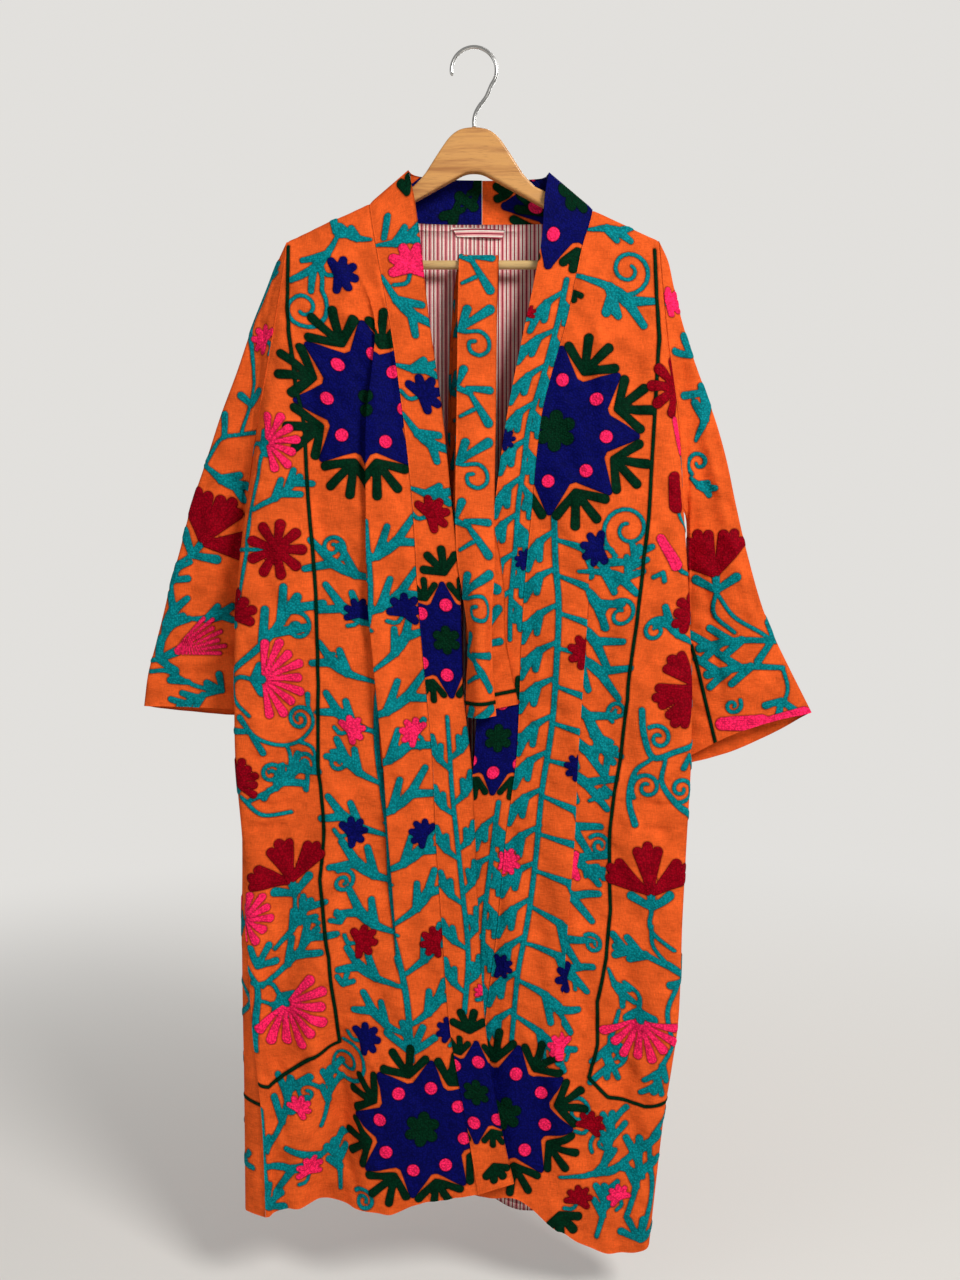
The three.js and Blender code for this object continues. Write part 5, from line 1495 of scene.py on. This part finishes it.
def new_material(name):
    """A material, its tree writer and its Principled BSDF."""
    made = bpy.data.materials.new(name)
    made.use_nodes = True
    return made, Tree(made.node_tree), made.node_tree.nodes["Principled BSDF"]


def place_group(t, tree, **inputs):
    """Puts a node group in a material and returns its outputs by name."""
    made = t.tree.nodes.new("ShaderNodeGroup")
    made.node_tree = tree
    for key, value in inputs.items():
        key = key.replace("_", " ")
        if isinstance(value, bpy.types.NodeSocket):
            t.tree.links.new(value, made.inputs[key])
        else:
            made.inputs[key].default_value = value
    return made.outputs


def wire_up(t, shader, colour, roughness=None, height=None, deep=1.0):
    """Links a colour, a roughness and a bump to the shader; deep is the relief in mm."""
    t.tree.links.new(colour, shader.inputs["Base Color"])
    if roughness is not None:
        t.tree.links.new(roughness, shader.inputs["Roughness"])
    if height is not None:
        bump = t.node("ShaderNodeBump", "Normal", {"Height": height, "Distance": deep / 1000})
        t.tree.links.new(bump, shader.inputs["Normal"])


# %% Embroidered cloth, in the ground colour of the robe
def embroidered(name, ground):
    made, t, shader = new_material(name)
    cloth = place_group(t, weave_group, Colour=ground, Slub=0.9)
    last = {"Colour": cloth["Colour"], "Cover": 0.0, "Row_Shade": 1.0, "Height": cloth["Height"]}
    for thread in THREADS:
        inside = t.node("ShaderNodeAttribute", "Fac", attribute_name=thread)
        out = place_group(t, stitch_group, Inside=inside, Thread=THREAD_COLOUR[thread], **last)
        last = {"Colour": out["Colour"], "Cover": out["Cover"], "Row_Shade": out["Row Shade"],
                "Height": out["Height"]}
    dyed = place_group(t, dye_group, Colour=last["Colour"], Amount=0.42)
    rough = t.node("ShaderNodeMix", 0, {0: last["Cover"], 2: 0.86, 3: 0.62})
    wire_up(t, shader, dyed["Colour"], rough, last["Height"], 1.1)
    shader.inputs["Specular IOR Level"].default_value = 0.03
    return made


ORANGE = (0.72, 0.098, 0.016, 1)
face = embroidered("embroidered_orange_cotton", ORANGE)
print("embroidered cloth:", len(face.node_tree.nodes), "nodes")

# %% [markdown]
# ## Striped lining, wood and wire
# The lining is a ticking: narrow dark stripes and broader pale ones, woven in, so they follow
# the cloth's own flat lines into every fold. The hanger's wood has long grain along its arms
# under a thin varnish, which is noise stretched one way, and its wire is plated.

# %% Ticking stripes
STRIPE = 4.4                                           # millimetres from stripe to stripe


def ticking(name, along_axis="X"):
    made, t, shader = new_material(name)
    place = t.node("ShaderNodeSeparateXYZ", along_axis, {0: t.flat()})
    turn = t.math("DIVIDE", place, STRIPE)
    wave = t.math("PINGPONG", turn, 0.5)
    broad = t.math("PINGPONG", t.math("DIVIDE", turn, 2.0), 0.5)
    dark = t.ramp(wave, 0.14, 0.22, 1.0, 0.0)
    pinkish = t.ramp(broad, 0.24, 0.26)
    pale = t.blend(pinkish, (0.80, 0.72, 0.64, 1), (0.78, 0.36, 0.36, 1))
    colour = t.blend(dark, pale, (0.31, 0.026, 0.050, 1))
    cloth = place_group(t, weave_group, Colour=colour, Slub=0.6)
    dyed = place_group(t, dye_group, Colour=cloth["Colour"], Amount=0.15)
    wire_up(t, shader, dyed["Colour"], None, cloth["Height"], 0.6)
    shader.inputs["Roughness"].default_value = 0.88
    shader.inputs["Specular IOR Level"].default_value = 0.10
    return made


stripe = ticking("striped_lining")
loop_stripe = ticking("hanging_loop_ticking", "Y")

# %% Varnished wood
def varnished(name, pale, deep, grain):
    made, t, shader = new_material(name)
    place = t.node("ShaderNodeTexCoord", "Object")
    warped = t.vector("ADD", place, t.vector("MULTIPLY", t.node(
        "ShaderNodeTexNoise", "Color", {"Vector": place, "Scale": 9.0}), (0.010, 0.010, 0.010)))
    lines = t.noise(t.vector("MULTIPLY", warped, (22.0, 260.0, 330.0)), 1.0, 4.0)
    pores = t.noise(t.vector("MULTIPLY", warped, (70.0, 1500.0, 1500.0)), 1.0, 1.0)
    rings = t.noise(t.vector("MULTIPLY", warped, (5.0, 60.0, 70.0)), 1.0, 2.0)
    figure = t.plus(t.times(lines, grain), rings)
    colour = t.blend(t.ramp(figure, 0.75, 1.2), pale, deep)
    colour = t.blend(t.ramp(pores, 0.60, 0.75, 0.0, 0.45), colour, (0.20, 0.075, 0.02, 1))
    wire_up(t, shader, colour, t.ramp(lines, 0.3, 0.7, 0.30, 0.42), pores, 0.10)
    shader.inputs["Coat Weight"].default_value = 0.35
    shader.inputs["Coat Roughness"].default_value = 0.18
    return made


wood = varnished("varnished_wood", (0.62, 0.30, 0.085, 1), (0.36, 0.135, 0.030, 1), 0.7)
bar_wood = varnished("turned_bar_wood", (0.62, 0.42, 0.17, 1), (0.42, 0.25, 0.085, 1), 0.6)

# %% Plated wire
chrome, t, shader = new_material("plated_wire")
place = t.node("ShaderNodeTexCoord", "Object")
drawn = t.noise(t.vector("MULTIPLY", place, (900.0, 900.0, 60.0)), 1.0, 1.0)
dull = t.noise(place, 55.0, 3.0)
plated = t.blend(t.ramp(dull, 0.45, 0.75), (0.62, 0.61, 0.59, 1), (0.42, 0.40, 0.37, 1))
wire_up(t, shader, plated,
        t.plus(t.ramp(dull, 0.4, 0.8, 0.14, 0.34), t.times(drawn, 0.05)))
shader.inputs["Metallic"].default_value = 1.0
print("materials", [m.name for m in bpy.data.materials])

# %% [markdown]
# ## The cloth pieces
# Each wall is now built with its own faces. Body and sleeves show embroidery outside and
# lining inside; the bands and the belt are embroidered cloth on both faces.

# %% Build the walls and hand them their thread
TWO_FACED = {"lining_back": (LINING, (stripe,)), "hanging_loop": (LOOP, (loop_stripe,)),
             "belt": (BELT, (face, stripe)), "collar_band_right": (BAND, (face, stripe)),
             "collar_band_left": (BAND, (face, stripe))}
CUFF_FACING = 15                        # rows of the sleeve's inner face, from the cuff
pieces = {}
for name, q in fine.items():
    both = name in TWO_FACED
    thick, cloths = TWO_FACED.get(name, (CLOTH, (face, stripe)))
    pieces[name] = wall(name + "_cloth", q, thick, raised.get(name), both, cloths,
                        CUFF_FACING if name in SLEEVES else 0)
    for thread, values in sewn.get(name, {}).items():
        give(pieces[name], thread, values, q, both)
    print(name, len(pieces[name].data.polygons), "faces")

# %% [markdown]
# ## The hanger
# A flat wooden piece cut to outline with rounded edges, a turned bar between its feet, and a
# bent wire hook. They follow the CAD outline, with rounder edges than the solids have. The
# wood's edge is rounded in layers that step inward, which keeps its outline exact.

# %% Hanger outline and edges
WOOD, ARM_END, ARM_SLOPE, NECK = 12, 190, 0.455, (65.4, -145.3)
BAR_Z, BAR_R, FOOT_X, HOOK_R, WIRE_R = -226.8, 4.75, 176, 24, 2
CROWN = [(0, -82.5), (15.5, -84.8), (26.1, -92.6), (35, -104.9), (44, -118.7), (53.5, -133.5)]
NOTCH_Z, UNDER_SLOPE, ROUND = -125.4, 0.55, 2.6
FOOT_Z, INNER_FOOT_Z, BRANCH_X = -235, -221.2, 100


def arm_top(x):
    return NECK[1] - (abs(x) - NECK[0]) * ARM_SLOPE


def under(x):
    return NOTCH_Z - x * UNDER_SLOPE


HOLLOW = [NECK, (FOOT_X, INNER_FOOT_Z), (BRANCH_X, under(BRANCH_X))]
half = CROWN + [NECK, (110, arm_top(110)), (ARM_END - 5, arm_top(ARM_END - 5)),
                (ARM_END, arm_top(ARM_END) - 5), (ARM_END, FOOT_Z), (FOOT_X, FOOT_Z),
                *HOLLOW[1:], (8, under(8))]
outline = half + [(-x, z) for x, z in reversed(half[1:])]


def round_corners(points, step=7.0):
    """The outline with each shallow corner eased by a short curve."""
    out, n = [], len(points)
    for i, q in enumerate(points):
        before, after = np.array(points[i - 1]), np.array(points[(i + 1) % n])
        q = np.array(q, float)
        hollow = (abs(q[0]), q[1]) in HOLLOW          # hollow corners may stay nearly sharp
        reach = min(1.2 if hollow else step, 0.45 * np.linalg.norm(before - q),
                    0.45 * np.linalg.norm(after - q))
        a = q + (before - q) / np.linalg.norm(before - q) * reach
        b = q + (after - q) / np.linalg.norm(after - q) * reach
        for t in np.linspace(0, 1, 6):
            out.append((1 - t) ** 2 * a + 2 * t * (1 - t) * q + t * t * b)
    return np.array(out)


def inset(points, depth):
    before, after = np.roll(points, 1, 0), np.roll(points, -1, 0)
    way = after - before
    way /= np.linalg.norm(way, axis=1, keepdims=True)
    return points + np.stack([-way[:, 1], way[:, 0]], 1) * -depth * turning


edge = round_corners(outline)
area = 0.5 * np.sum(edge[:, 0] * np.roll(edge[:, 1], -1) - np.roll(edge[:, 0], -1) * edge[:, 1])
turning = -np.sign(area)
layers = []
for angle in np.linspace(0, math.pi / 2, 5):        # quarter round, front edge
    layers.append((ROUND * (1 - math.sin(angle)), -WOOD / 2 + ROUND * (1 - math.cos(angle))))
layers = layers + [(d, -y) for d, y in reversed(layers)]
points = np.concatenate([np.insert(inset(edge, d), 1, y, 1) for d, y in layers]) / 1000
n = len(edge)
faces = [[k * n + i, k * n + (i + 1) % n, (k + 1) * n + (i + 1) % n, (k + 1) * n + i]
         for k in range(len(layers) - 1) for i in range(n)]
faces += [list(range(n))[::-1], list(range((len(layers) - 1) * n, len(layers) * n))]


def closed_piece(name, points, faces, material, split_caps):
    """A closed piece whose faces all look outward; split_caps makes triangles of its ends."""
    mesh = bpy.data.meshes.new(name)
    mesh.from_pydata(points, [], faces)
    shape = bmesh.new()
    shape.from_mesh(mesh)
    bmesh.ops.recalc_face_normals(shape, faces=shape.faces)
    if split_caps:
        bmesh.ops.triangulate(shape, faces=[f for f in shape.faces if len(f.verts) > 4])
    shape.to_mesh(mesh)
    shape.free()
    mesh.materials.append(material)
    return add_object(name, mesh)


wood_piece = closed_piece("hanger_wood_piece", points, faces, wood, True)
for f in wood_piece.data.polygons:
    f.use_smooth = abs(f.normal.y) < 0.999
print("hanger outline points", n, "faces", len(wood_piece.data.polygons))


# %% Bar and hook
def tube(name, path, radius, sides, material):
    """A round bar or wire along a path of points, in millimetres."""
    path = np.asarray(path, float)
    radius = np.broadcast_to(radius, len(path))
    way = np.gradient(path, axis=0)
    way /= np.linalg.norm(way, axis=1, keepdims=True)
    across = np.cross(way, [0, 1, 0])
    across /= np.linalg.norm(across, axis=1, keepdims=True)
    other = np.cross(across, way)
    turn = np.linspace(0, 2 * math.pi, sides, endpoint=False)
    ring = (np.cos(turn)[None, :, None] * across[:, None]
            + np.sin(turn)[None, :, None] * other[:, None])
    points = (path[:, None] + ring * radius[:, None, None]).reshape(-1, 3) / 1000
    faces = [[i * sides + j, i * sides + (j + 1) % sides, (i + 1) * sides + (j + 1) % sides,
              (i + 1) * sides + j] for i in range(len(path) - 1) for j in range(sides)]
    faces += [list(range(sides))[::-1], list(range((len(path) - 1) * sides, len(path) * sides))]
    obj = closed_piece(name, points, faces, material, False)
    for f in obj.data.polygons:
        f.use_smooth = len(f.vertices) == 4
    return obj


reach = FOOT_X - SEAM
ends = [(-reach, BAR_R - 0.5), (-reach + 0.6, BAR_R)]
stations = ends + [(x, BAR_R) for x in np.linspace(-reach + 4, reach - 4, 40)] + \
    [(-x, r) for x, r in reversed(ends)]
bar_piece = tube("hanger_bar_piece", [(x, 0, BAR_Z) for x, _ in stations],
                 np.array([r for _, r in stations]), 40, bar_wood)
bend = [(HOOK_R * math.cos(a), 0, WIRE_R - HOOK_R + HOOK_R * math.sin(a))
        for a in np.radians(np.linspace(-38, 194, 19))]
path = [(0, 0, CROWN[0][1] + SEAM), (0, 0, -74), (1.6, 0, -67), (6, 0, -59),
        (12.5, 0, -50.5)] + bend
HOOK_POINTS = 120
wire = along(path, np.linspace(0, len(path) - 1, HOOK_POINTS))
thick = WIRE_R * np.ones(HOOK_POINTS)
thick[-3:] = WIRE_R * np.array([0.93, 0.75, 0.35])             # a rounded end
hook_piece = tube("hanger_hook_piece", wire, thick, 28, chrome)
print("hook wire", round(float(np.linalg.norm(np.diff(wire, axis=0), axis=1).sum())), "mm long")

# %% [markdown]
# ## Which piece stands for which solid
# Every dressed piece rides on the one body and hides its CAD solid, and the flat size that
# each cloth piece was cut to is printed beside its area.

# %% Ride, replace, and print the cut sizes
def flat_area(q):
    """Area of the flat piece in square metres, from the cloth itself."""
    a = np.concatenate([q.p, q.p[:, :1]], 1) if q.loop else q.p
    cross = np.cross(a[1:, 1:] - a[:-1, :-1], a[1:, :-1] - a[:-1, 1:])
    return float(np.linalg.norm(cross, axis=-1).sum() / 2e6)


for name, obj in pieces.items():
    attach(obj, "root")
    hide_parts(name)
for obj, node, slot in ((wood_piece, "hanger_wood", "hanger_wood"),
                        (bar_piece, "hanger_bar", "hanger_wood"),
                        (hook_piece, "hanger_hook", "hook_wire")):
    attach(obj, "root")
    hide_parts(node)

CUT = {   # width and length in metres, and what the piece hangs on
    "front_right": (0.272, 1.115, "hanger_wood_piece"),
    "front_left": (0.262, 1.135, "hanger_wood_piece"),
    "back": (0.560, 1.135, "hanger_wood_piece"),
    "sleeve_right": (0.560, 0.300, "front_right_cloth", "back_cloth"),
    "sleeve_left": (0.560, 0.300, "front_left_cloth", "back_cloth"),
    "collar_band_right": (0.044, 1.300, "front_right_cloth", "back_cloth"),
    "collar_band_left": (0.052, 1.300, "front_left_cloth", "back_cloth"),
    "lining_back": (0.520, 1.120, "back_cloth"),
    "hanging_loop": (0.010, 0.060, "lining_back_cloth"),
    "belt": (BELT_WIDTH / 1000, 1.66, "hanger_bar_piece")}
for name, (wide, long, *rests_on) in CUT.items():
    area = flat_area(fine[name])
    print(name, "cut", wide, long, "area", round(area, 4), "of", round(wide * long, 4))

# %% [markdown]
# ## Floor and light
# A pale floor well below the hem, one large soft light from the upper right of the camera, a
# weaker one from the left, one behind, and a pale surrounding, as in a light studio.

# %% Floor, lights and surroundings
FLOOR_HALF, FLOOR_Z, MIDDLE = 9, -1.36, (0, 0, -0.65)          # metres
floor_mesh = bpy.data.meshes.new("studio_floor")
floor_mesh.from_pydata([(x * FLOOR_HALF, y * FLOOR_HALF, FLOOR_Z)
                        for x, y in ((-1, -1), (1, -1), (1, 1), (-1, 1))], [], [(0, 1, 2, 3)])
floor = add_object("studio_floor", floor_mesh)
BACKDROP = (0.76, 0.745, 0.72, 1)
floor_paint, t, paint = new_material("studio_floor_paint")
paint.inputs["Base Color"].default_value = (0.68, 0.66, 0.63, 1)
paint.inputs["Roughness"].default_value = 0.9
far = t.vector("LENGTH", t.node("ShaderNodeTexCoord", "Object"), out="Value")
glow = t.node("ShaderNodeEmission", 0, {"Color": BACKDROP})
fade = t.times(t.ramp(far, 1.40, 2.6), t.node("ShaderNodeLightPath", "Is Camera Ray"))
t.tree.links.new(t.node("ShaderNodeMixShader", 0, {0: fade, 1: paint.outputs[0], 2: glow}),
                 t.tree.nodes["Material Output"].inputs["Surface"])
floor_mesh.materials.append(floor_paint)


def soft_light(name, place, size, power, colour=(1, 1, 1)):
    """A round soft light, turned towards the middle of the robe."""
    data = bpy.data.lights.new(name, "AREA")
    data.shape, data.size, data.energy, data.color = "DISK", size, power, colour
    obj = add_object(name, data)
    way = np.array(MIDDLE, float) - np.array(place, float)
    obj.location = place
    obj.rotation_euler = (math.pi / 2 + math.atan2(way[2], math.hypot(way[0], way[1])), 0,
                          math.atan2(-way[0], way[1]))


soft_light("key_light", (1.5, -2.0, 1.1), 1.0, 78, (1, 0.985, 0.96))
soft_light("fill_light", (-2.2, -1.6, 0.0), 1.8, 8, (0.96, 0.98, 1))
soft_light("rear_light", (0.6, 2.4, 0.9), 1.6, 40)
world = bpy.data.worlds.new("studio")
world.use_nodes = True
sky = Tree(world.node_tree)
around = world.node_tree.nodes["Background"]
around.inputs["Color"].default_value = (0.93, 0.93, 0.92, 1)
around.inputs["Strength"].default_value = 0.36          # what lights the robe from all sides
plain = world.node_tree.nodes.new("ShaderNodeBackground")
plain.inputs["Color"].default_value = BACKDROP                   # what shows behind it
mixed = sky.node("ShaderNodeMixShader", 0, {0: sky.node("ShaderNodeLightPath", "Is Camera Ray"),
                                            1: around.outputs[0], 2: plain.outputs[0]})
world.node_tree.links.new(mixed, world.node_tree.nodes["World Output"].inputs["Surface"])
bpy.context.scene.world = world
bpy.context.scene.view_settings.view_transform = "Standard"
